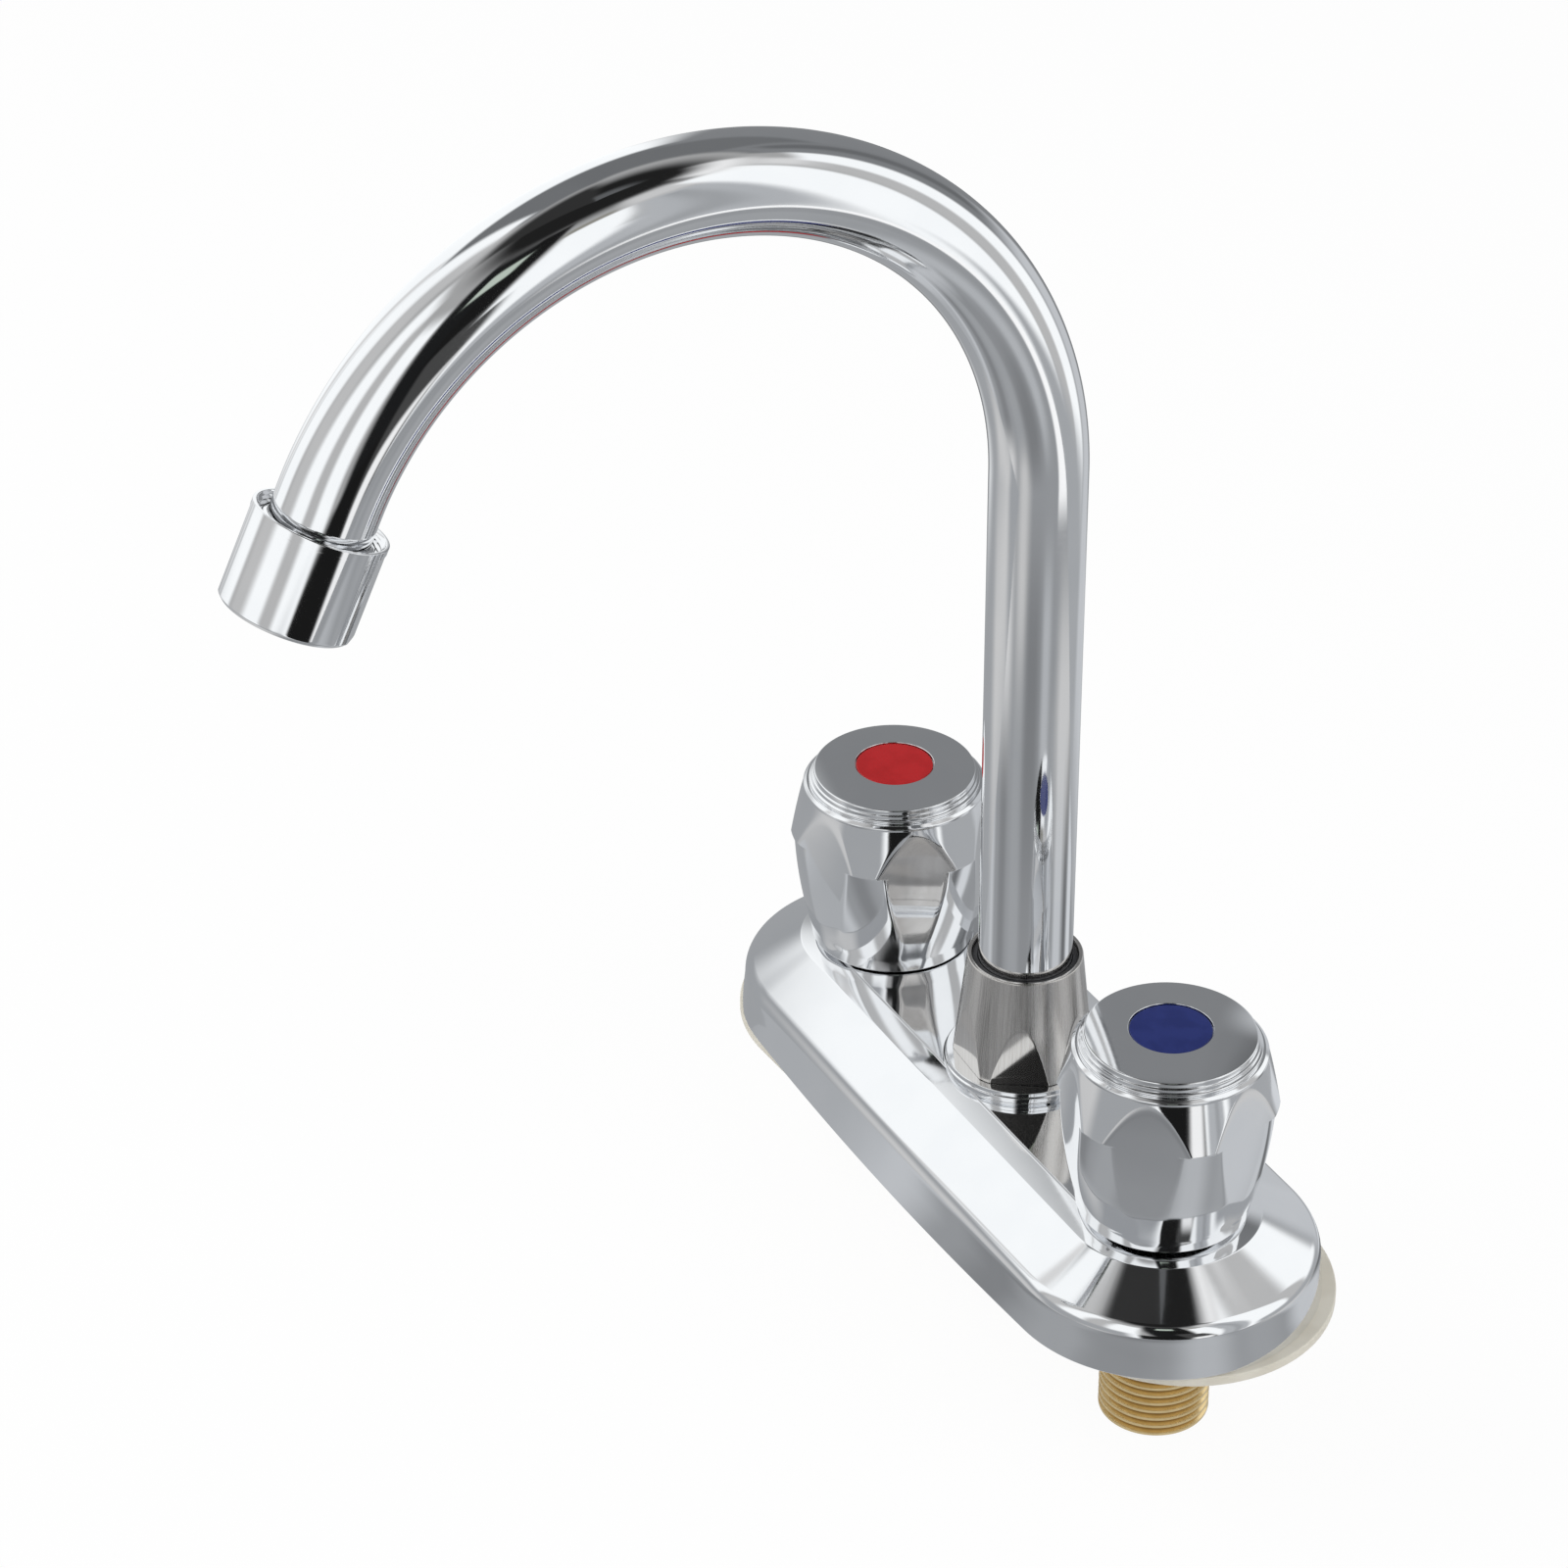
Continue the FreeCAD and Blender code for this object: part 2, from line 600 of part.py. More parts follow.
def handle_cap():
    spigot_r = CAP_RECESS_R - SLIP
    cap = turned([
        (PEG_R + SLIP, CROWN_Z), (spigot_r - SPIGOT_WALL, CROWN_Z),
        (spigot_r - SPIGOT_WALL, CROWN_Z - SPIGOT_H), (spigot_r, CROWN_Z - SPIGOT_H),
        (spigot_r, CROWN_Z), (CAP_FLANGE_R, CROWN_Z),
        (CAP_FLANGE_R, CROWN_Z + CAP_FLANGE_H), (CAP_R, CROWN_Z + CAP_FLANGE_H), (CAP_R, CAP_TOP),
        (BUTTON_R + SLIP, CAP_TOP), (BUTTON_R + SLIP, BUTTON_FLOOR), (PEG_R + SLIP, BUTTON_FLOOR),
    ])
    return cap.makeFillet(CAP_ROUND, rims_at(cap, CAP_R, CAP_TOP))


def index_button():
    top = BUTTON_FLOOR + BUTTON_T
    return turned([
        (0, BUTTON_FLOOR - PEG_H), (PEG_R, BUTTON_FLOOR - PEG_H), (PEG_R, BUTTON_FLOOR),
        (BUTTON_R, BUTTON_FLOOR), (BUTTON_R, top), (0, top),
    ])


def handle_screw():
    seat = WEB_Z + WEB_T
    screw = turned([
        (0, seat - SCREW_L), (SCREW_R, seat - SCREW_L), (SCREW_R, seat), (SCREW_HEAD_R, seat),
        (SCREW_HEAD_R, seat + SCREW_HEAD_H), (0, seat + SCREW_HEAD_H),
    ])
    for turn in (0, 90):
        slot = Part.makeBox(2 * SCREW_R, SCREW_SLOT, SCREW_SLOT,
                            V(-SCREW_R, -SCREW_SLOT / 2, seat + SCREW_HEAD_H - SCREW_SLOT))
        slot.rotate(V(0, 0, 0), UP, turn)
        screw = screw.cut(slot)
    return screw


def spout_outlet_body():
    body = rod(OUTLET_R, OUTLET_FOOT, CEILING_Z)
    body = body.fuse(rod(OUTLET_NECK_R, CEILING_Z, OUTLET_NECK_TOP))
    mouth = OUTLET_R + SOCKET_BEYOND
    body = body.fuse(bar_x(SOCKET_R, -mouth, mouth, CROSS_Z))
    body = body.cut(rod(OUTLET_BORE_R, OUTLET_FOOT + OUTLET_FLOOR, OUTLET_NECK_TOP))
    for side in (-1, 1):
        body = body.cut(bar_x(CROSS_R + SLIP, side * (mouth - SOCKET_DEPTH), side * mouth, CROSS_Z))
    return body.cut(bar_x(CROSS_HOLE_R, -mouth, mouth, CROSS_Z))


COLLAR_TOP = FLAT_Z + COLLAR_H
NUT_FOOT = COLLAR_TOP - COLLAR_SINK


def spout_collar_ring():
    middle = FLAT_Z + COLLAR_H / 2
    sink_r = COLLAR_R - COLLAR_RIM
    bore = OUTLET_NECK_R + 2 * SLIP
    return turned([
        (bore, FLAT_Z), (COLLAR_R, FLAT_Z), (COLLAR_R, middle - COLLAR_GROOVE),
        (COLLAR_R - COLLAR_GROOVE, middle), (COLLAR_R, middle + COLLAR_GROOVE),
        (COLLAR_R, COLLAR_TOP), (sink_r, COLLAR_TOP), (sink_r, NUT_FOOT), (bore, NUT_FOOT),
    ])


SLIP_RING_Z = TUBE_FOOT + FLARE_H
NUT_SHOULDER_Z = SLIP_RING_Z + SLIP_RING_T + 2 * FACE_GAP
BUSH_R = TUBE_R + RUN + BUSH_T


def spout_nut():
    cone = turned([(0, NUT_FOOT), (NUT_FOOT_R, NUT_FOOT), (NUT_TOP_R, NUT_TOP), (0, NUT_TOP)])
    cone = cone.makeFillet(NUT_ROUND, rims_at(cone, NUT_TOP_R, NUT_TOP))
    nut = cone.common(hexagon(NUT_HEX, NUT_FOOT, NUT_TOP, NUT_HEX_TURN))
    nut = nut.cut(rod(OUTLET_NECK_R + SLIP, NUT_FOOT, NUT_SHOULDER_Z))
    nut = nut.cut(rod(NUT_SHOULDER_R, NUT_SHOULDER_Z, BUSH_SEAT_Z))
    return nut.cut(rod(BUSH_R + SLIP, BUSH_SEAT_Z, NUT_TOP))


def spout_bush():
    return tube(BUSH_R, TUBE_R + RUN, BUSH_SEAT_Z, NUT_TOP - BUSH_SUNK)


def spout_base_sleeve():
    body_r = OUTLET_BORE_R - RUN
    sleeve = turned([
        (SLEEVE_BORE_R, SLEEVE_FOOT), (body_r, SLEEVE_FOOT), (body_r, SLEEVE_FLANGE_Z),
        (SLEEVE_FLANGE_R, SLEEVE_FLANGE_Z), (SLEEVE_FLANGE_R, TUBE_FOOT),
        (TUBE_R - TUBE_WALL - SLIP, TUBE_FOOT), (TUBE_R - TUBE_WALL - SLIP, TUBE_FOOT + SLEEVE_SPIGOT),
        (SLEEVE_BORE_R, TUBE_FOOT + SLEEVE_SPIGOT),
    ])
    core = OUTLET_BORE_R - 2 * SLEEVE_RING_R - SLIP
    for z in SLEEVE_GROOVES:
        sleeve = sleeve.cut(tube(2 * body_r, core, z - 2 * SLEEVE_RING_R, z + 2 * SLEEVE_RING_R))
    return sleeve


def spout_seals():
    major = OUTLET_BORE_R - SLEEVE_RING_R - SLIP / 2
    return [torus(major, SLEEVE_RING_R, z) for z in SLEEVE_GROOVES]


def spout_slip_ring():
    return tube(SLEEVE_FLANGE_R, TUBE_R + SLIP, SLIP_RING_Z, SLIP_RING_Z + SLIP_RING_T)


SWEEP = math.radians(BEND_SWEEP)
FLOW = V(0, -math.sin(SWEEP), math.cos(SWEEP))
BEND_END = V(0, -BEND_R * (1 - math.cos(SWEEP)), BEND_Z + BEND_R * math.sin(SWEEP))
RIM = BEND_END + FLOW * TAIL


def along_flow(shape):
    """A piece modelled along +Z from the origin, laid along the spout's end from the aerator's rim."""
    placed = shape.copy()
    placed.rotate(V(0, 0, 0), V(1, 0, 0), math.degrees(math.atan2(-FLOW.y, FLOW.z)))
    placed.translate(RIM)
    return placed


def spout_tube():
    def pipe(radius):
        upright = rod(radius, TUBE_FOOT, BEND_Z)
        disc = Part.Face(Part.Wire(Part.makeCircle(radius, V(0, 0, BEND_Z), UP)))
        bend = disc.revolve(V(0, -BEND_R, BEND_Z), V(1, 0, 0), BEND_SWEEP)
        tail = Part.makeCylinder(radius, TAIL + TUBE_IN, BEND_END, FLOW)
        return upright.fuse([bend, tail])
    outer = pipe(TUBE_R).fuse(rod(FLARE_R, TUBE_FOOT, TUBE_FOOT + FLARE_H))
    return outer.cut(pipe(TUBE_R - TUBE_WALL)).removeSplitter()


def spout_end_collar():
    bore = TUBE_R + SLIP
    return along_flow(turned([
        (bore, COLLAR_IN), (END_FLANGE_R, COLLAR_IN), (END_FLANGE_R, COLLAR_IN + END_FLANGE_T),
        (AER_BORE_R - SLIP, COLLAR_IN + END_FLANGE_T), (AER_BORE_R - SLIP, TUBE_IN), (bore, TUBE_IN),
    ]))


def aerator_housing():
    cage_l = AER_L - AER_LIP_T
    shell = turned([
        (AER_BORE_R, 0), (AER_R, 0), (AER_R, AER_L - AER_CHAMFER), (AER_R - AER_CHAMFER, AER_L),
        (AER_LIP_R, AER_L), (AER_LIP_R, cage_l), (AER_CAGE_R, cage_l), (AER_CAGE_R, AER_BORE_L),
        (AER_BORE_R, AER_BORE_L),
    ])
    for k in range(AER_THREADS):
        z = (k + 0.5) * AER_THREAD_PITCH
        half = AER_THREAD_DEPTH
        shell = shell.cut(turned([(TUBE_R, z - half), (AER_BORE_R, z - half),
                                  (AER_BORE_R + AER_THREAD_DEPTH, z), (AER_BORE_R, z + half),
                                  (TUBE_R, z + half)]))
    for way in (-1, 1):
        low_x = AER_FLAT_R if way > 0 else -AER_FLAT_R - AER_R
        flat = Part.makeBox(AER_R, 2 * AER_R, AER_FLAT_L, V(low_x, -AER_R, AER_L - AER_FLAT_L))
        shell = shell.cut(flat)
    return along_flow(shell)


def aerator_washer():
    return along_flow(tube(AER_CAGE_R - 2 * SLIP, WASHER_BORE_R, TUBE_IN, TUBE_IN + WASHER_T))


def drilled(low, high, hole_r, step):
    """A disc across the aerator's cage, with a honeycomb of holes that its lip leaves open."""
    disc = rod(AER_CAGE_R - 2 * SLIP, low, high)
    within = AER_LIP_R
    reach = int(within / step) + 1
    holes = []
    for i in range(-reach, reach + 1):
        for j in range(-reach, reach + 1):
            x = step * (i + 0.5 * (j % 2))
            y = step * j * math.sqrt(3) / 2
            if math.hypot(x, y) + hole_r < within:
                holes.append(rod(hole_r, low, high, x, y))
    return disc.cut(Part.makeCompound(holes))


def aerator_insert():
    low = TUBE_IN + WASHER_T
    return along_flow(drilled(low, low + INSERT_T, INSERT_HOLE_R, INSERT_STEP))


def aerator_screen():
    low = TUBE_IN + WASHER_T + INSERT_T
    return along_flow(drilled(low, low + SCREEN_T, SCREEN_HOLE_R, SCREEN_STEP))


save("deck_plate", deck_plate())
save("base_gasket", base_gasket())
save("spout_outlet_body", spout_outlet_body())
save("spout_collar_ring", spout_collar_ring())
save("spout_nut", spout_nut())
save("spout_bush", spout_bush())
save("spout_tube", spout_tube())
save("spout_base_sleeve", spout_base_sleeve())
save("spout_seals", *spout_seals())
save("spout_slip_ring", spout_slip_ring())
save("spout_end_collar", spout_end_collar())
save("aerator_housing", aerator_housing())
save("aerator_washer", aerator_washer())
save("aerator_insert", aerator_insert())
save("aerator_screen", aerator_screen())

for side_name, side in (("hot", -1), ("cold", 1)):
    pieces = {
        "valve_body": valve_body(side),
        "deck_nut": deck_nut(),
        "cartridge_housing": cartridge_housing(side),
        "fixed_disc": fixed_disc(),
        "moving_disc": moving_disc(),
        "seat_seal": seat_seal(),
        "housing_seal": housing_seal(),
        "spindle": spindle(side),
        "spindle_clip": spindle_clip(),
        "handle": handle(side),
        "handle_cap": handle_cap(),
        "index_button": index_button(),
        "handle_screw": handle_screw(),
    }
    for piece_name, piece in pieces.items():
        save(side_name + "_" + piece_name, at_side(piece, side))
    save(side_name + "_spindle_seals", *[at_side(ring, side) for ring in spindle_seals()])
    save(side_name + "_crossover_tube", crossover_tube(side))
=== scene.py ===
import json
import math
import bpy
from mathutils import Matrix, Vector


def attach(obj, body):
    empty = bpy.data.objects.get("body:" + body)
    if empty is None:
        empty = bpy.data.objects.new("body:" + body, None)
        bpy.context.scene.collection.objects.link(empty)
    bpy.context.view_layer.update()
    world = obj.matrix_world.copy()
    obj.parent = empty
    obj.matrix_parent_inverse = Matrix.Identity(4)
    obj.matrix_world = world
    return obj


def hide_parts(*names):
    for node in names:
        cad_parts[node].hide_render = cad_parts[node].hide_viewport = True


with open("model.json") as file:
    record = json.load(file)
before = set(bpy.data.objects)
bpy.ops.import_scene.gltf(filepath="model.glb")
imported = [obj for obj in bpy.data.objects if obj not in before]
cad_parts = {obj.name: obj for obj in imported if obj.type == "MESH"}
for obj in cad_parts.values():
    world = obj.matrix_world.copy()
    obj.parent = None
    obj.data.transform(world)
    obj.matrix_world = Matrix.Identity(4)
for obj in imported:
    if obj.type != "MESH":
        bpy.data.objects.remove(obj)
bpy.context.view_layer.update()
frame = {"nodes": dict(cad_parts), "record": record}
bpy.ops.object.select_all(action="DESELECT")

# Lengths below are in millimetres; MM turns them into Blender's metres.
MM = 0.001
HALF = 50.8                # from the middle to each handle
SIDES = (("hot", -1), ("cold", 1))

DECK_FOOT = 2.0            # the gasket's top, on which the deck plate stands
FLAT_Z = 19.8              # the deck plate's flat top
SPOUT_Z = 148.9            # where the riser ends and the bend starts
BEND_R = 71.3              # to the middle of the tube
BEND_SWEEP = math.radians(154.5)
TAIL = 3.9                 # straight run from the bend to the aerator's upper rim
TUBE_R = 9.0
FLOOR_Z = -28.3            # the lower ends of the shanks

# Which way the water leaves, and where the bend and the aerator's upper rim are
FLOW = Vector((0, -math.sin(BEND_SWEEP), math.cos(BEND_SWEEP)))
BEND_END = Vector((0, -BEND_R * (1 - math.cos(BEND_SWEEP)), SPOUT_Z + BEND_R * math.sin(BEND_SWEEP)))
RIM = BEND_END + FLOW * TAIL


# Shaping tools

ARC_STEP = math.radians(9)  # the most that one face of a rounding turns
GUARD = 0.15               # flat strip kept beside each rounding
GUARD_ROOM = 2.5 * GUARD   # a side shorter than this has no room for the strip
MERGE = 0.002              # vertices this close become one
SHARP = math.radians(32)   # edges sharper than this stay sharp


def eased(corners, closed=False):
    """Turns (radius, height, rounding) corners into a profile. A rounding becomes an arc, and a point close beside
    each of its ends keeps the faces next to it flat."""
    spots = [Vector((c[0], c[1])) for c in corners]
    rounds = [c[2] if len(c) > 2 else 0 for c in corners]
    count = len(spots)
    profile = []
    for i, spot in enumerate(spots):
        end = not closed and i in (0, count - 1)
        if rounds[i] == 0 or end:
            profile.append(tuple(spot))
            continue
        back = spots[i - 1] - spot
        on = spots[(i + 1) % count] - spot
        back_l, on_l = back.length, on.length
        back.normalize()
        on.normalize()
        inside = back.angle(on)
        reach = rounds[i] / math.tan(inside / 2)
        centre = spot + (back + on).normalized() * rounds[i] / math.sin(inside / 2)
        start = spot + back * reach - centre
        stop = spot + on * reach - centre
        sweep = start.angle_signed(stop)
        steps = max(3, math.ceil(abs(sweep) / ARC_STEP))
        if back_l - reach > GUARD_ROOM:
            profile.append(tuple(spot + back * (reach + GUARD)))
        for k in range(steps + 1):
            turn = -sweep * k / steps
            profile.append(tuple(centre + Matrix.Rotation(turn, 2) @ start))
        if on_l - reach > GUARD_ROOM:
            profile.append(tuple(spot + on * (reach + GUARD)))
    if closed:
        profile.append(profile[0])
    return profile


def join_faces(close_ends=False):
    """Merges the doubles of the piece in hand, closes its open ends if asked, and points its faces outwards."""
    bpy.ops.object.mode_set(mode="EDIT")
    bpy.ops.mesh.select_all(action="SELECT")
    bpy.ops.mesh.remove_doubles(threshold=MERGE * MM)
    if close_ends:
        bpy.ops.mesh.fill_holes(sides=0)
        bpy.ops.mesh.select_all(action="SELECT")
    bpy.ops.mesh.normals_make_consistent(inside=False)
    bpy.ops.object.mode_set(mode="OBJECT")


def finish_mesh(piece):
    """Joins the faces and smooths all but the sharp edges."""
    join_faces()
    bpy.ops.object.shade_smooth_by_angle(angle=SHARP)
    piece.select_set(False)
    return piece


def turned(name, profile, x=0.0, steps=144):
    """A round piece: one vertex is drawn along the profile, and the line is spun a full turn about the Z axis."""
    bpy.ops.mesh.primitive_plane_add(size=MM)
    piece = bpy.context.object
    piece.name = name
    bpy.ops.object.mode_set(mode="EDIT")
    bpy.ops.mesh.merge(type="CENTER")
    r, z = profile[0]
    bpy.ops.transform.translate(value=(r * MM, 0, z * MM))
    for (r, z), (next_r, next_z) in zip(profile, profile[1:]):
        step = ((next_r - r) * MM, 0, (next_z - z) * MM)
        bpy.ops.mesh.extrude_vertices_move(TRANSFORM_OT_translate={"value": step})
    bpy.ops.mesh.select_all(action="SELECT")
    bpy.ops.mesh.spin(steps=steps, angle=2 * math.pi, center=(0, 0, 0), axis=(0, 0, 1))
    bpy.ops.mesh.select_all(action="SELECT")
    bpy.ops.transform.translate(value=(x * MM, 0, 0))
    bpy.ops.object.mode_set(mode="OBJECT")
    return finish_mesh(piece)


def wrapped(name, columns, rows, place):
    """A grid laid round a piece: place(column, row) gives each vertex's spot in millimetres."""
    bpy.ops.mesh.primitive_grid_add(x_subdivisions=columns, y_subdivisions=rows, size=2)
    piece = bpy.context.object
    piece.name = name
    for vertex in piece.data.vertices:
        column = round((vertex.co.x + 1) / 2 * columns)
        row = round((vertex.co.y + 1) / 2 * rows)
        vertex.co = Vector(place(column, row)) * MM
    return piece


def smaller(a, b, ease):
    """The smaller of two radii, eased over where they cross."""
    near = max(ease - abs(a - b), 0) / ease
    return min(a, b) - near * near * ease / 4


NO_CUT = 40.0              # a cut's distance from the axis where it doesn't reach the piece
NARROWEST = math.radians(1.5)  # a cut's edge is never closer to its middle than this
WIDEST = 0.93              # share of a sector that a cut can take
GATHER = 1.7               # how closely the columns gather at a cut's edge
HALVINGS = 30              # of the angle in which a cut's edge is sought
LEAST_COSINE = 0.05        # keeps a flat's distance finite at a right angle


def flat_cut(angle, out):
    """Distance from the axis of a flat whose middle is out from it, at an angle from that middle."""
    return out / max(math.cos(angle), LEAST_COSINE)


def faceted(name, profile, cut, count, turn, ease, x=0.0, fine=(20, 14)):
    """A closed ring whose outside is cut back by flats or flutes. cut(angle, z) is a cut's distance from the axis,
    measured at an angle from the cut's middle. The columns gather at the edges between the cuts and the ring: fine
    says how many there are from a cut's middle to its edge and on to the sector's end."""
    half = math.pi / count
    steps = fine[0] + fine[1]
    columns = 2 * count * steps
    table = []
    for r, z, outer in profile:
        edge = NARROWEST
        if outer and cut(0, z) < r:
            low, high = 0.0, half
            for _ in range(HALVINGS):
                middle = (low + high) / 2
                if cut(middle, z) < r:
                    low = middle
                else:
                    high = middle
            edge = max(low, edge)
        edge = min(edge, half * WIDEST)
        halves = [edge * (1 - (1 - k / fine[0]) ** GATHER) for k in range(fine[0])]
        halves += [edge + (half - edge) * (k / fine[1]) ** GATHER for k in range(fine[1] + 1)]
        spots = []
        for k in range(columns + 1):
            sector, step = divmod(k, 2 * steps)
            middle = 2 * half * sector
            if step <= steps:
                off = halves[step]
                angle = middle + off
            else:
                off = halves[2 * steps - step]
                angle = middle + 2 * half - off
            out = smaller(r, cut(off, z), ease(z)) if outer else r
            angle += turn
            spots.append((x + out * math.cos(angle), out * math.sin(angle), z))
        table.append(spots)
    return wrapped(name, columns, len(profile) - 1, lambda column, row: table[row][column])


def along_flow(piece):
    """Lays a piece modelled up from the origin along the spout's end, from the aerator's upper rim."""
    piece.matrix_world = (Matrix.Translation(RIM * MM)
                          @ Matrix.Rotation(math.atan2(-FLOW.y, FLOW.z), 4, "X"))
    piece.select_set(True)
    bpy.context.view_layer.objects.active = piece
    bpy.ops.object.transform_apply(location=True, rotation=True, scale=True)
    piece.select_set(False)
    return piece


CUTTER_LENGTH = 60.0
CUTTER_Z = 10.0


def bored(piece, holes):
    """Cuts upright round holes of (x, radius) through a piece, centred on the line from handle to handle."""
    for x, r in holes:
        bpy.ops.mesh.primitive_cylinder_add(vertices=96, radius=r * MM, depth=CUTTER_LENGTH * MM,
                                            location=(x * MM, 0, CUTTER_Z * MM))
        cutter = bpy.context.object
        piece.select_set(True)
        bpy.context.view_layer.objects.active = piece
        hole = piece.modifiers.new("hole", "BOOLEAN")
        hole.operation = "DIFFERENCE"
        hole.solver = "EXACT"
        hole.object = cutter
        bpy.ops.object.modifier_apply(modifier="hole")
        bpy.data.objects.remove(cutter)


# Deck plate and gasket

BOW = 1.5                  # how far the foot's long sides bulge in the middle
BOW_FAR = (HALF * HALF - BOW * BOW) / (2 * BOW)  # from the spine to the middle of a side's curve
BOW_TURN = math.atan2(HALF, BOW_FAR)  # half that curve's angle
END_STEPS, SIDE_STEPS = 72, 28
DECK_COLUMNS = 2 * (END_STEPS + SIDE_STEPS)


def deck_spot(column, r, bowed):
    """A spot on the deck's outline at distance r from its spine, between straight (0) and bowed (1) sides."""
    part, step = divmod(column, END_STEPS + SIDE_STEPS)
    flip = 1 if part % 2 == 0 else -1
    if step <= END_STEPS:
        share = step / END_STEPS * 2 - 1
        angle = share * (math.pi / 2 - BOW_TURN)
        curved = Vector((HALF + r * math.cos(angle), r * math.sin(angle)))
        angle = share * math.pi / 2
        plain = Vector((HALF + r * math.cos(angle), r * math.sin(angle)))
    else:
        share = 1 - (step - END_STEPS) / SIDE_STEPS * 2
        angle = share * BOW_TURN
        far = r + math.hypot(HALF, BOW_FAR)
        curved = Vector((far * math.sin(angle), far * math.cos(angle) - BOW_FAR))
        plain = Vector((share * HALF, r))
    spot = curved * bowed + plain * (1 - bowed)
    return spot * flip


RIM_Z = 11.9               # where the slope meets the skirt
BOW_ONSET = 1.4            # how late down the skirt the sides bow out
VALVE_HOLE_R = 10.1
SPOUT_HOLE_R = 11.1


def deck_plate():
    """A flat top with a fine step, a ridge, a straight slope, and a skirt that flares out to the bowed foot."""
    corners = [(12.4, FLAT_Z), (13.9, FLAT_Z, 0.1), (14.1, 19.45, 0.12), (18.5, 18.4, 0.7), (29.6, RIM_Z, 3.6),
               (29.75, 8.6), (29.95, 6.8), (30.15, 4.8), (30.4, DECK_FOOT, 0.25), (28.4, DECK_FOOT, 0.25),
               (28.15, 4.8), (27.95, 6.8), (27.7, 10.3), (18.6, 16.4), (13.8, 17.2), (12.4, 17.2)]
    profile = eased(corners)

    def place(column, row):
        r, z = profile[row]
        down = min(max((RIM_Z - z) / (RIM_Z - DECK_FOOT), 0), 1)
        spot = deck_spot(column, r, down ** BOW_ONSET)
        return spot.x, spot.y, z

    piece = wrapped("deck_plate_shell", DECK_COLUMNS, len(profile) - 1, place)
    join_faces(close_ends=True)
    bored(piece, [(-HALF, VALVE_HOLE_R), (0, SPOUT_HOLE_R), (HALF, VALVE_HOLE_R)])
    return finish_mesh(piece)


GASKET_REACH = 29.2
GASKET_STRETCH = 2.3       # how much longer each end is than the plain outline
GASKET_SHIFT = (0.2, 1.05)
GASKET_TURN = math.radians(2.2)
GASKET_HOLE_R = 13.08


def base_gasket():
    """A flat sheet with straight sides that lies slightly askew under the deck plate."""
    profile = eased([(20.0, DECK_FOOT), (GASKET_REACH, DECK_FOOT, 0.3), (GASKET_REACH, 0.0, 0.3), (20.0, 0.0)])

    def place(column, row):
        r, z = profile[row]
        spot = deck_spot(column, r, 0)
        return spot.x * (1 + GASKET_STRETCH / (HALF + GASKET_REACH)), spot.y, z

    piece = wrapped("gasket_sheet", DECK_COLUMNS, len(profile) - 1, place)
    join_faces(close_ends=True)
    shift = Vector((*GASKET_SHIFT, 0)) * MM
    piece.matrix_world = Matrix.Translation(shift) @ Matrix.Rotation(GASKET_TURN, 4, "Z")
    bpy.ops.object.transform_apply(location=True, rotation=True, scale=True)
    bored(piece, [(-HALF, GASKET_HOLE_R), (HALF, GASKET_HOLE_R)])
    return finish_mesh(piece)


# Handles

FLUTE_COUNT = 6
FLUTE_TURN = math.radians(16)
FLUTE_FLOOR = 18.35        # from the axis to the hollow's middle
FLUTE_ACROSS = 58.0        # radius of the hollow, across
FLUTE_ARCH_Z = 47.0        # above this the hollow leans in towards the crown
FLUTE_ARCH_R = 136.0
FLUTE_TAPER_Z = 44.0       # below this it curls in towards the foot
FLUTE_TAPER = 0.00022
FLUTE_FOOT = 16.12         # it goes no deeper than this, so that the handle's foot stays round
FLUTE_FOOT_EASE = 0.5
FLUTE_ROUNDS = 8           # of closing in on the hollow's surface
FLUTE_REACH = 0.9 * FLUTE_ACROSS

GRIP_LOW = Vector((16.0, 20.6))
GRIP_HIGH = Vector((19.75, 44.3))
GRIP_BULGE = 0.75
GRIP_FROM, GRIP_TO = 22.7, 44.1
GRIP_ROWS = 45
CONE_TOP = (17.95, 54.4)
CONE_ROWS = 47
CROWN_Z = 55.4
HANDLE_FOOT = 20.1
GRIP_EASE, TAB_EASE = 0.3, 0.35  # softness of the creases, below and above TAB_Z
TAB_Z = 44.0


def flute(angle, z):
    """Distance from the axis of a flute's hollow."""
    arch = max(z - FLUTE_ARCH_Z, 0)
    taper = max(FLUTE_TAPER_Z - z, 0)
    floor = FLUTE_FLOOR - arch * arch / 2 / FLUTE_ARCH_R - FLUTE_TAPER * taper ** 3
    floor = -smaller(-floor, -FLUTE_FOOT, FLUTE_FOOT_EASE)
    r = floor
    for _ in range(FLUTE_ROUNDS):
        y = r * math.sin(angle)
        if abs(y) > FLUTE_REACH:
            return NO_CUT
        r = (floor + FLUTE_ACROSS - math.sqrt(FLUTE_ACROSS ** 2 - y * y)) / math.cos(angle)
    return r


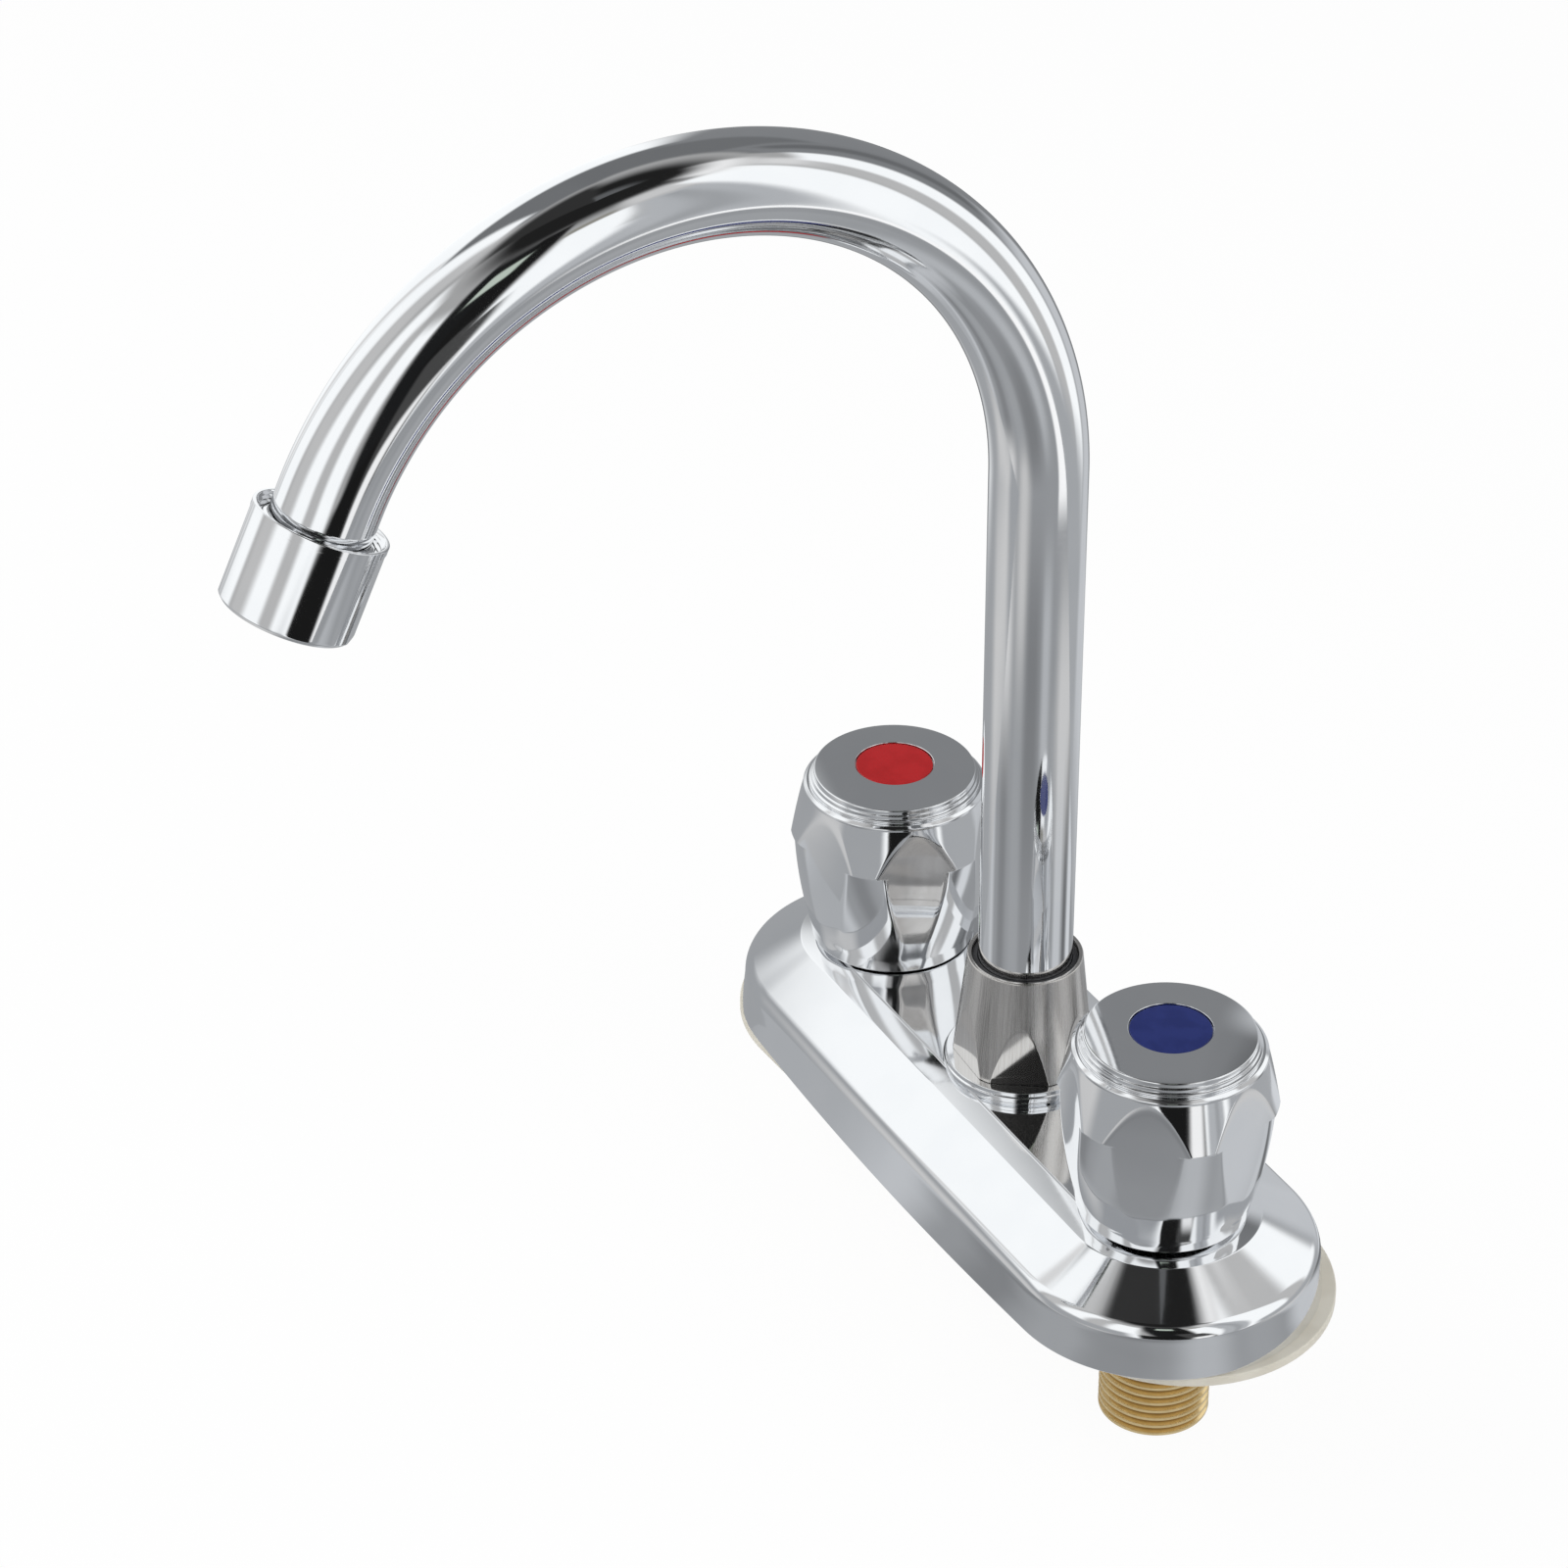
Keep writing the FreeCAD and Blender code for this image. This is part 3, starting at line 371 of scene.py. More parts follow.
def handle(name, side):
    """A hollow handle: a bulging grip, a fine step out to the tabs, a cone and a crown, with flutes cut all round."""
    chord = GRIP_HIGH - GRIP_LOW
    out = Vector((chord.y, -chord.x)).normalized() * GRIP_BULGE
    radius = (chord.length / 2) ** 2 / (2 * GRIP_BULGE) + GRIP_BULGE / 2
    centre = (GRIP_LOW + GRIP_HIGH) / 2 + out - out.normalized() * radius
    grip = []
    for k in range(GRIP_ROWS + 1):
        z = GRIP_FROM + (GRIP_TO - GRIP_FROM) * k / GRIP_ROWS
        grip.append((centre.x + math.sqrt(radius ** 2 - (z - centre.y) ** 2), z))
    foot = eased([(14.0, HANDLE_FOOT), (16.15, HANDLE_FOOT, 0.35), grip[0]])[:-1]
    tab = eased([grip[-1], (19.74, 44.3, 0.12), (20.5, 44.62, 0.25), CONE_TOP])
    cone_r, cone_z = tab[-2]
    cone = []
    for k in range(1, CONE_ROWS):
        share = k / CONE_ROWS
        cone.append((cone_r + (CONE_TOP[0] - cone_r) * share, cone_z + (CONE_TOP[1] - cone_z) * share))
    crown = eased([cone[-1], (*CONE_TOP, 0.25), (17.95, 54.85, 0.3), (17.3, CROWN_Z, 0.15), (14.5, CROWN_Z)])
    outside = foot + grip + tab[1:-1] + cone + crown[1:-1]
    profile = [(2.35, 49.0, False), (4.1, 49.0, False), (4.1, 36.6, False), (7.2, 36.6, False), (7.2, 49.0, False),
               (15.0, 49.0, False), (12.9, HANDLE_FOOT + 0.15, False), (13.0, HANDLE_FOOT, False)]
    profile += [(r, z, True) for r, z in outside]
    profile += [(14.5, CROWN_Z, False), (14.5, 52.0, False), (2.35, 52.0, False), (2.35, 49.0, False)]

    def ease(z):
        return GRIP_EASE if z < TAB_Z else TAB_EASE

    return finish_mesh(faceted(name, profile, flute, FLUTE_COUNT, FLUTE_TURN * side, ease, side * HALF))


CAP_TOP = 59.2             # where the dome would end in the middle
CAP_BOW = 100.0            # radius of the cap's domed top


def handle_cap(name, side):
    """A thin disc with three fine steps and a domed top round the button's recess."""
    dome = [(r, CAP_TOP - r * r / 2 / CAP_BOW) for r in (15.9, 15, 14, 13, 12, 11, 10, 9, 7.75)]
    rim = eased([(14.4, 55.42), (16.85, 55.42, 0.1), (16.85, 56.0, 0.25), (16.3, 56.15, 0.1), (16.3, 56.85, 0.12),
                 (15.9, 56.95, 0.08), (*dome[0], 0.3), dome[1]])
    well = eased([dome[-2], (*dome[-1], 0.15), (7.75, 57.9), (1.5, 57.9)])
    profile = [(1.5, 55.42), (12.9, 55.42), (12.9, 53.0), (14.4, 53.0)] + rim + dome[2:-2] + well + [(1.5, 55.42)]
    return turned(name, profile, side * HALF)


def index_button(name, side):
    """A slightly domed disc with a short stem."""
    corners = [(0, 56.1), (1.45, 56.1), (1.45, 57.9), (7.6, 57.9, 0.1), (7.6, 58.7, 0.2), (0, 58.85)]
    return turned(name, eased(corners), side * HALF, 96)


# Spout

FLARE_R = 10.4
FLARE_Z = 33.0             # the flare's foot
FLARE_TOP = 34.2
RISER_Z = 36.0             # the tube's rings are evenly spaced from here up
RISER_RINGS = 12
BEND_RINGS = 220
TAIL_INSIDE = 8.0          # how far the tube runs on inside the aerator
TUBE_WALL = 1.0


def spout_tube():
    """A flared foot, a straight riser, the bend and a short tail, drawn out from one circle."""
    bpy.ops.mesh.primitive_circle_add(vertices=96, radius=FLARE_R * MM, location=(0, 0, FLARE_Z * MM))
    piece = bpy.context.object
    piece.name = "gooseneck_tube"
    bpy.ops.object.transform_apply(location=True)
    bpy.ops.object.mode_set(mode="EDIT")
    bpy.ops.mesh.select_all(action="SELECT")
    heights = [FLARE_TOP, FLARE_TOP, RISER_Z]
    heights += [RISER_Z + (SPOUT_Z - RISER_Z) * k / RISER_RINGS for k in range(1, RISER_RINGS + 1)]
    z = FLARE_Z
    for k, height in enumerate(heights):
        bpy.ops.mesh.extrude_edges_move(TRANSFORM_OT_translate={"value": (0, 0, (height - z) * MM)})
        if k == 1:
            share = TUBE_R / FLARE_R
            bpy.ops.transform.resize(value=(share, share, 1), center_override=(0, 0, height * MM))
        z = height
    bpy.ops.mesh.spin(steps=BEND_RINGS, angle=BEND_SWEEP, center=(0, -BEND_R * MM, SPOUT_Z * MM), axis=(-1, 0, 0))
    for _ in range(2):
        bpy.ops.mesh.extrude_edges_move(TRANSFORM_OT_translate={"value": FLOW * (TAIL + TAIL_INSIDE) / 2 * MM})
    bpy.ops.object.mode_set(mode="OBJECT")
    finish_mesh(piece)
    piece.select_set(True)
    wall = piece.modifiers.new("wall", "SOLIDIFY")
    wall.thickness = TUBE_WALL * MM
    wall.offset = -1
    bpy.ops.object.modifier_apply(modifier="wall")
    piece.select_set(False)
    return piece


def collar_ring():
    """A low ring that stands flush on the deck plate and has a lip half way up."""
    corners = [(11.1, FLAT_Z), (14.8, FLAT_Z, 0.1), (14.8, 20.4), (15.3, 20.4, 0.1), (15.3, 21.3, 0.2),
               (14.9, 21.4, 0.06), (14.9, 22.25, 0.2), (11.1, 22.25)]
    return turned("collar_step_ring", eased(corners, closed=True))


NUT_TURN = math.radians(26.2)
NUT_FLAT = 12.1            # from the axis to a flat
NUT_TOP = 44.8
NUT_EASE = 0.06
NUT_ROWS = 48
BUSH_FOOT = 38.0


def nut_flat(angle, z):
    return flat_cut(angle, NUT_FLAT)


def spout_nut():
    """A cone whose lower part is cut back by six flats."""
    top = eased([(13.4, 22.3), (11.05, NUT_TOP, 0.3), (10.2, NUT_TOP)])
    low_r, low_z = 13.39, 22.45
    high_r, high_z = top[1]
    outside = [(13.1, 22.32), (13.3, 22.36), (low_r, low_z)]
    for k in range(1, NUT_ROWS):
        outside.append((low_r + (high_r - low_r) * k / NUT_ROWS, low_z + (high_z - low_z) * k / NUT_ROWS))
    outside += top[1:-1]
    profile = [(11.05, 36.0, False), (11.05, 22.3, False), (12.0, 22.3, False)]
    profile += [(r, z, True) for r, z in outside]
    profile += [(10.45, NUT_TOP, False), (10.25, 44.74, False), (10.2, 44.6, False), (10.2, BUSH_FOOT, False),
                (9.3, BUSH_FOOT, False), (9.3, 36.0, False), (11.05, 36.0, False)]
    return finish_mesh(faceted("spout_cone_nut", profile, nut_flat, 6, NUT_TURN, lambda z: NUT_EASE, fine=(18, 12)))


def spout_bush():
    corners = [(9.08, BUSH_FOOT), (10.15, BUSH_FOOT), (10.15, 44.1, 0.2), (9.08, 44.3, 0.1)]
    return turned("tube_bush", eased(corners, closed=True), steps=96)


def end_collar():
    """A flange in the aerator's mouth, round the end of the tube. Heights run along the flow from here on."""
    corners = [(9.05, 1.1, 0.1), (9.9, 1.35, 0.35), (9.9, 4.2), (10.7, 4.2), (10.7, 8.0), (9.05, 8.0)]
    return along_flow(turned("spout_end_ring", eased(corners, closed=True), steps=96))


SHELL_R = 11.9
SHELL_BORE = 10.85
SHELL_END = 17.7
SHELL_EASE = 0.03
FLAT_OUT = 11.5            # from the axis to a spanner flat
FLAT_START = 1.1           # from the upper rim to the flats
FLAT_FADE = 0.35           # the length over which a flat comes in
FLAT_FADE_OUT = 1.0
FLAT_TURN = math.radians(-51)
THREADS = 8
THREAD_R = 11.2
THREAD_HALF = 0.38


def aerator_flat(angle, z):
    """The two spanner flats run from the lower rim to just under the upper rim."""
    if z < FLAT_START:
        return NO_CUT
    share = min((z - FLAT_START) / FLAT_FADE, 1)
    return flat_cut(angle, FLAT_OUT + FLAT_FADE_OUT * (1 - share))


def aerator_housing():
    """A round shell with two flats, threaded inside its upper half."""
    inside = []
    for k in range(THREADS, 0, -1):
        inside += [(SHELL_BORE, k + THREAD_HALF), (THREAD_R, k), (SHELL_BORE, k - THREAD_HALF)]
    inside += [(11.15, 0.35)]
    upper = eased([(11.2, 0.3), (11.3, 0.0, 0.12), (SHELL_R, 0.0, 0.2), (SHELL_R, 6.0)])[1:-1]
    side = [(SHELL_R, FLAT_START + k * 0.05) for k in range(8)]
    side += [(SHELL_R, z) for z in (1.6, 2, 4, 6, 8, 10, 12, 14, 16, 16.6)]
    lower = eased([(SHELL_R, 16.8), (SHELL_R, 17.0, 0.3), (11.2, SHELL_END, 0.4), (8.8, SHELL_END)])[1:-1]
    profile = [(r, z, False) for r, z in inside] + [(r, z, True) for r, z in upper + side + lower]
    profile += [(9.0, SHELL_END, False), (8.8, 17.6, False), (8.8, 16.5, False), (10.2, 16.5, False),
                (10.2, 9.5, False), (SHELL_BORE, 9.5, False), (SHELL_BORE, THREADS + THREAD_HALF, False)]
    piece = faceted("aerator_shell", profile, aerator_flat, 2, FLAT_TURN, lambda z: SHELL_EASE, fine=(26, 34))
    return along_flow(finish_mesh(piece))


# Finishes

# Sockets of a Mix node that blends colours
MIX_FACTOR, MIX_LOW, MIX_HIGH, MIX_COLOUR = 0, 6, 7, 2


def feed(tree, source, socket):
    """Sets a socket to a number or a colour, or links it."""
    if isinstance(source, (int, float)):
        socket.default_value = source
    elif isinstance(source, tuple):
        socket.default_value = (*source, 1)
    else:
        tree.links.new(source, socket)


def math_node(tree, operation, *values):
    """A Math node with each value set or linked."""
    node = tree.nodes.new("ShaderNodeMath")
    node.operation = operation
    for k, value in enumerate(values):
        feed(tree, value, node.inputs[k])
    return node.outputs[0]


def length_node(tree, x, y):
    """The length of a line from the origin to (x, y)."""
    return math_node(tree, "SQRT", math_node(tree, "ADD", math_node(tree, "MULTIPLY", x, x),
                                             math_node(tree, "MULTIPLY", y, y)))


def step_node(tree, value, low, high):
    """A smooth step from 0 at low to 1 at high."""
    node = tree.nodes.new("ShaderNodeMapRange")
    node.interpolation_type = "SMOOTHSTEP"
    for socket, source in (("Value", value), ("From Min", low), ("From Max", high)):
        feed(tree, source, node.inputs[socket])
    return node.outputs[0]


def noise_node(tree, vector, scale, detail):
    node = tree.nodes.new("ShaderNodeTexNoise")
    for socket, source in (("Vector", vector), ("Scale", scale), ("Detail", detail)):
        feed(tree, source, node.inputs[socket])
    return node.outputs["Fac"]


def blend_node(tree, factor, low, high):
    """A value between low and high."""
    return math_node(tree, "ADD", low, math_node(tree, "MULTIPLY", factor, math_node(tree, "SUBTRACT", high, low)))


def group_with(name, inputs, outputs):
    group = bpy.data.node_groups.new(name, "ShaderNodeTree")
    for socket in inputs:
        kind = "NodeSocketVector" if socket == "Vector" else "NodeSocketFloat"
        group.interface.new_socket(socket, in_out="INPUT", socket_type=kind)
    for socket in outputs:
        group.interface.new_socket(socket, in_out="OUTPUT", socket_type="NodeSocketFloat")
    return group, group.nodes.new("NodeGroupInput").outputs, group.nodes.new("NodeGroupOutput").inputs


COARSE_SHARE = 0.6         # of the relief; the rest is the fine noise
EVEN_SPREAD = (0.3, 0.7)   # noise levels at which gloss is at its lowest and highest
PATCH_SPREAD = (0.35, 0.65)
ON_AXIS = 0.0001           # metres from the axis, below which a line has no direction


def surface_detail_group():
    """Uneven gloss, soft patches and a fine relief from a coarse and a fine noise."""
    group, take, give = group_with("surface_detail", ("Vector", "Coarse", "Fine", "Low", "High"),
                                   ("Roughness", "Patches", "Height"))
    coarse = noise_node(group, take["Vector"], take["Coarse"], 2.0)
    fine = noise_node(group, take["Vector"], take["Fine"], 3.0)
    both = math_node(group, "ADD", math_node(group, "MULTIPLY", coarse, COARSE_SHARE),
                     math_node(group, "MULTIPLY", fine, 1 - COARSE_SHARE))
    spread = step_node(group, both, *EVEN_SPREAD)
    group.links.new(blend_node(group, spread, take["Low"], take["High"]), give["Roughness"])
    group.links.new(step_node(group, coarse, *PATCH_SPREAD), give["Patches"])
    group.links.new(both, give["Height"])
    return group


def brushed_lines_group():
    """Fine lines drawn up a turned piece: Lines sets how many go round, Run how soon one ends."""
    group, take, give = group_with("brushed_lines", ("Vector", "Lines", "Run"), ("Mask", "Height"))
    split = group.nodes.new("ShaderNodeSeparateXYZ")
    group.links.new(take["Vector"], split.inputs[0])
    x, y, z = split.outputs
    out = length_node(group, x, y)
    join = group.nodes.new("ShaderNodeCombineXYZ")
    for k, side in enumerate((x, y)):
        ring = math_node(group, "DIVIDE", side, math_node(group, "MAXIMUM", out, ON_AXIS))
        group.links.new(math_node(group, "MULTIPLY", ring, take["Lines"]), join.inputs[k])
    group.links.new(math_node(group, "MULTIPLY", z, take["Run"]), join.inputs[2])
    lines = noise_node(group, join.outputs[0], 1.0, 3.0)
    group.links.new(step_node(group, lines, *PATCH_SPREAD), give["Mask"])
    group.links.new(lines, give["Height"])
    return group


DETAIL = surface_detail_group()
BRUSHED = brushed_lines_group()


def place_group(tree, group, **sources):
    """Puts a group in a tree, with each of its inputs set or linked."""
    node = tree.nodes.new("ShaderNodeGroup")
    node.node_tree = group
    for socket, source in sources.items():
        feed(tree, source, node.inputs[socket])
    return node.outputs


def two_tones(tree, factor, low, high):
    """A colour between two colours."""
    mix = tree.nodes.new("ShaderNodeMix")
    mix.data_type = "RGBA"
    for socket, source in ((MIX_FACTOR, factor), (MIX_LOW, low), (MIX_HIGH, high)):
        feed(tree, source, mix.inputs[socket])
    return mix.outputs[MIX_COLOUR]


def relief(tree, height, depth):
    """Feeds a height to the shader's normal. depth is in millimetres."""
    bump = tree.nodes.new("ShaderNodeBump")
    bump.inputs["Distance"].default_value = depth * MM
    tree.links.new(height, bump.inputs["Height"])
    tree.links.new(bump.outputs["Normal"], tree.nodes["Principled BSDF"].inputs["Normal"])


def plain_material(name, metallic):
    """A new material, with its tree, its shader and the piece's own coordinates."""
    material = bpy.data.materials.new(name)
    material.use_nodes = True
    tree = material.node_tree
    shader = tree.nodes["Principled BSDF"]
    shader.inputs["Metallic"].default_value = metallic
    return material, tree, shader, tree.nodes.new("ShaderNodeTexCoord").outputs["Object"]


def finish(name, deep, pale, metallic, gloss, coarse, fine, depth):
    """Two close tones in soft patches, gloss between two values, and a fine relief."""
    material, tree, shader, place = plain_material(name, metallic)
    detail = place_group(tree, DETAIL, Vector=place, Coarse=coarse, Fine=fine, Low=gloss[0], High=gloss[1])
    tree.links.new(two_tones(tree, detail["Patches"], deep, pale), shader.inputs["Base Color"])
    tree.links.new(detail["Roughness"], shader.inputs["Roughness"])
    relief(tree, detail["Height"], depth)
    return material


def off_axis(tree, place, offset):
    """Object coordinates measured from an upright axis. With an offset, the two axes at +x and -x fold into one."""
    split = tree.nodes.new("ShaderNodeSeparateXYZ")
    tree.links.new(place, split.inputs[0])
    x, y, z = split.outputs
    if offset:
        x = math_node(tree, "SUBTRACT", math_node(tree, "ABSOLUTE", x), offset * MM)
    join = tree.nodes.new("ShaderNodeCombineXYZ")
    for k, side in enumerate((x, y, z)):
        tree.links.new(side, join.inputs[k])
    return join.outputs[0], x, y


LINE_GLOSS = (0.17, 0.30)
LINE_TINT = 0.8            # how much of the two tones the lines show
LINE_DEPTH = 0.012
FLAT_GLOSS = 0.09
FLAT_EDGE = (0.05, 0.02)   # how far inside a flat's plane its polish starts and is full


def brushed_nickel():
    """Satin cone with fine upright lines, and polished flats."""
    material, tree, shader, place = plain_material("satin_nickel", 1)
    around, x, y = off_axis(tree, place, 0)
    lines = place_group(tree, BRUSHED, Vector=around, Lines=60.0, Run=90.0)
    angle = math_node(tree, "SUBTRACT", math_node(tree, "ARCTAN2", y, x), NUT_TURN)
    folded = math_node(tree, "WRAP", angle, math.pi / 6, -math.pi / 6)
    to_flat = math_node(tree, "MULTIPLY", length_node(tree, x, y), math_node(tree, "COSINE", folded))
    flats = step_node(tree, to_flat, (NUT_FLAT - FLAT_EDGE[0]) * MM, (NUT_FLAT - FLAT_EDGE[1]) * MM)
    satin = blend_node(tree, lines["Mask"], *LINE_GLOSS)
    tree.links.new(blend_node(tree, flats, satin, FLAT_GLOSS), shader.inputs["Roughness"])
    tint = math_node(tree, "MULTIPLY", lines["Mask"], LINE_TINT)
    tree.links.new(two_tones(tree, tint, (0.58, 0.555, 0.53), (0.70, 0.68, 0.655)), shader.inputs["Base Color"])
    cone_only = math_node(tree, "SUBTRACT", 1.0, flats)
    relief(tree, math_node(tree, "MULTIPLY", lines["Height"], cone_only), LINE_DEPTH)
    return material


THREAD_ROOT_R = 9.35
THREAD_CREST_R = 10.2
ROOT_GLOSS, CREST_GLOSS = 0.36, 0.15
LEAST_WEAR = 0.75          # of the crests, where the wear is patchy
GRAIN_DEPTH = 0.008


def turned_brass():
    """Bright rubbed crests, roots darkened with painted shade, and a fine grain."""
    material, tree, shader, place = plain_material("turned_brass", 1)
    grain = place_group(tree, DETAIL, Vector=place, Coarse=350.0, Fine=2600.0, Low=0.0, High=1.0)
    relief(tree, grain["Height"], GRAIN_DEPTH)
    around, x, y = off_axis(tree, place, HALF)
    wear = place_group(tree, DETAIL, Vector=around, Coarse=420.0, Fine=2400.0, Low=0.0, High=1.0)
    crest = step_node(tree, length_node(tree, x, y), THREAD_ROOT_R * MM, THREAD_CREST_R * MM)
    crest_wear_and_root_shade = math_node(tree, "MULTIPLY", crest, blend_node(tree, wear["Roughness"], LEAST_WEAR, 1.0))
    # Painted shade: the thread roots get the dark tone, in place of the shade in the hollows. The crests keep the
    # brass colour, a little duller in patches where the wear is uneven.
    tree.links.new(two_tones(tree, crest_wear_and_root_shade, (0.46, 0.30, 0.12), (0.90, 0.70, 0.38)), shader.inputs["Base Color"])
    tree.links.new(blend_node(tree, crest_wear_and_root_shade, ROOT_GLOSS, CREST_GLOSS), shader.inputs["Roughness"])
    return material


# Each finish: name, deep and pale tone, metallic, lowest and highest gloss value, coarse and fine scale, relief in mm
chrome = finish("polished_chrome", (0.862, 0.87, 0.882), (0.88, 0.886, 0.896), 1, (0.045, 0.075), 90, 900, 0.0006)
nickel = brushed_nickel()
brass = turned_brass()
steel = finish("stainless_steel", (0.55, 0.55, 0.56), (0.64, 0.64, 0.65), 1, (0.22, 0.36), 500, 4000, 0.006)
ceramic = finish("lapped_ceramic", (0.88, 0.87, 0.83), (0.93, 0.93, 0.90), 0, (0.12, 0.22), 600, 5000, 0.003)
seal = finish("seal_rubber", (0.028, 0.028, 0.030), (0.050, 0.050, 0.052), 0, (0.50, 0.68), 400, 3500, 0.02)
cream = finish("cream_gasket", (0.75, 0.71, 0.61), (0.80, 0.765, 0.67), 0, (0.55, 0.72), 160, 2200, 0.03)
black = finish("black_bush", (0.018, 0.018, 0.020), (0.035, 0.035, 0.038), 0, (0.34, 0.5), 350, 3000, 0.012)
white = finish("white_plastic", (0.80, 0.80, 0.77), (0.86, 0.86, 0.84), 0, (0.32, 0.46), 250, 2400, 0.01)
red = finish("red_index", (0.44, 0.006, 0.008), (0.49, 0.008, 0.011), 0, (0.12, 0.2), 260, 1500, 0.006)
blue = finish("blue_index", (0.010, 0.020, 0.135), (0.014, 0.026, 0.160), 0, (0.12, 0.2), 260, 1500, 0.006)
BY_SLOT = {"chrome": chrome, "satin_nickel": nickel, "brass": brass, "steel": steel, "disc_ceramic": ceramic,
           "seal_rubber": seal, "gasket_rubber": cream, "black_plastic": black, "white_plastic": white,
           "red_plastic": red, "blue_plastic": blue}

SLOT_OF = {row["node"]: row["material_slot"] for row in frame["record"]["subparts"]}
for node, thing in frame["nodes"].items():
    for slot in thing.material_slots:
        slot.material = BY_SLOT[SLOT_OF[node]]


def mount(piece, body, node):
    """Rides a finished piece on its body in place of its CAD node, with that node's finish."""
    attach(piece, body)
    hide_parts(node)
    piece.data.materials.clear()
    piece.data.materials.append(BY_SLOT[SLOT_OF[node]])


mount(deck_plate(), "base", "deck_plate")
mount(base_gasket(), "base", "base_gasket")
mount(collar_ring(), "base", "spout_collar_ring")
mount(spout_nut(), "base", "spout_nut")
mount(spout_bush(), "base", "spout_bush")
mount(spout_tube(), "spout", "spout_tube")
mount(end_collar(), "spout", "spout_end_collar")
mount(aerator_housing(), "spout", "aerator_housing")
for word, side in SIDES:
    mount(handle(word + "_fluted_handle", side), word + "_handle_set", word + "_handle")
    mount(handle_cap(word + "_cap_disc", side), word + "_handle_set", word + "_handle_cap")
    mount(index_button(word + "_button", side), word + "_handle_set", word + "_index_button")


# Studio

LENS, SENSOR = 110.23, 36
SHIFT = (-0.0039, 0.0026)
CAMERA_PLACE = (
    (0.47502491, -0.4741968, 0.74127507, 0.639791),
    (0.87996545, 0.25931393, -0.39801645, -0.394063),
    (-0.00348482, 0.84136418, 0.54045737, 0.563773),
    (0, 0, 0, 1),
)
FLOOR_SIZE = 6000.0
FLOOR_GAP = 0.2            # between the grey table and the floor

camera_data = bpy.data.cameras.new("view")
camera_data.lens = LENS
camera_data.sensor_width = SENSOR
camera_data.shift_x, camera_data.shift_y = SHIFT
camera = bpy.data.objects.new("view", camera_data)
bpy.context.scene.collection.objects.link(camera)
camera.matrix_world = Matrix(CAMERA_PLACE)
bpy.context.scene.camera = camera

bpy.ops.mesh.primitive_plane_add(size=FLOOR_SIZE * MM, location=(0, 0, (FLOOR_Z - FLOOR_GAP) * MM))
floor = bpy.context.object
floor.name = "floor"
bpy.ops.object.transform_apply(location=True)
floor.visible_glossy = False


PANEL_TERMS = ("Middle", "Half Width", "Lean", "Low", "High", "Soft")


def panel_group():
    """One soft-edged light panel of the tent, as a mask over azimuth and elevation in degrees."""
    group, take, give = group_with("tent_panel", ("Azimuth", "Elevation") + PANEL_TERMS, ("Mask",))
    lean = math_node(group, "MULTIPLY", take["Elevation"], take["Lean"])
    off = math_node(group, "SUBTRACT", math_node(group, "SUBTRACT", take["Azimuth"], take["Middle"]), lean)
    away = math_node(group, "ABSOLUTE", math_node(group, "WRAP", off, 180.0, -180.0))
    wide = step_node(group, away, math_node(group, "ADD", take["Half Width"], take["Soft"]),
                     math_node(group, "SUBTRACT", take["Half Width"], take["Soft"]))
    over = step_node(group, take["Elevation"], math_node(group, "SUBTRACT", take["Low"], take["Soft"]),
                     math_node(group, "ADD", take["Low"], take["Soft"]))
    under = step_node(group, take["Elevation"], math_node(group, "ADD", take["High"], take["Soft"]),
                      math_node(group, "SUBTRACT", take["High"], take["Soft"]))
    tall = math_node(group, "MULTIPLY", over, under)
    group.links.new(math_node(group, "MULTIPLY", wide, tall), give["Mask"])
    return group


SCREEN_GAMMA = 2.2
CHROME_SHINE = 0.87        # the share of light that polished chrome gives back


def tone(level, tint=(1, 1, 1)):
    """The light that polished chrome shows at a level from 0 to 1."""
    return tuple(level ** SCREEN_GAMMA / CHROME_SHINE * part for part in tint)


WHITE = (1.05, 1.07, 1.08)
COOL = (0.97, 1.0, 1.04)
GREENISH = (0.93, 1.06, 0.93)
TENT_CENTRE = Vector((165, -57, 220))
TENT_R = 366
TENT_DARK = tone(0.14)     # where no panel is
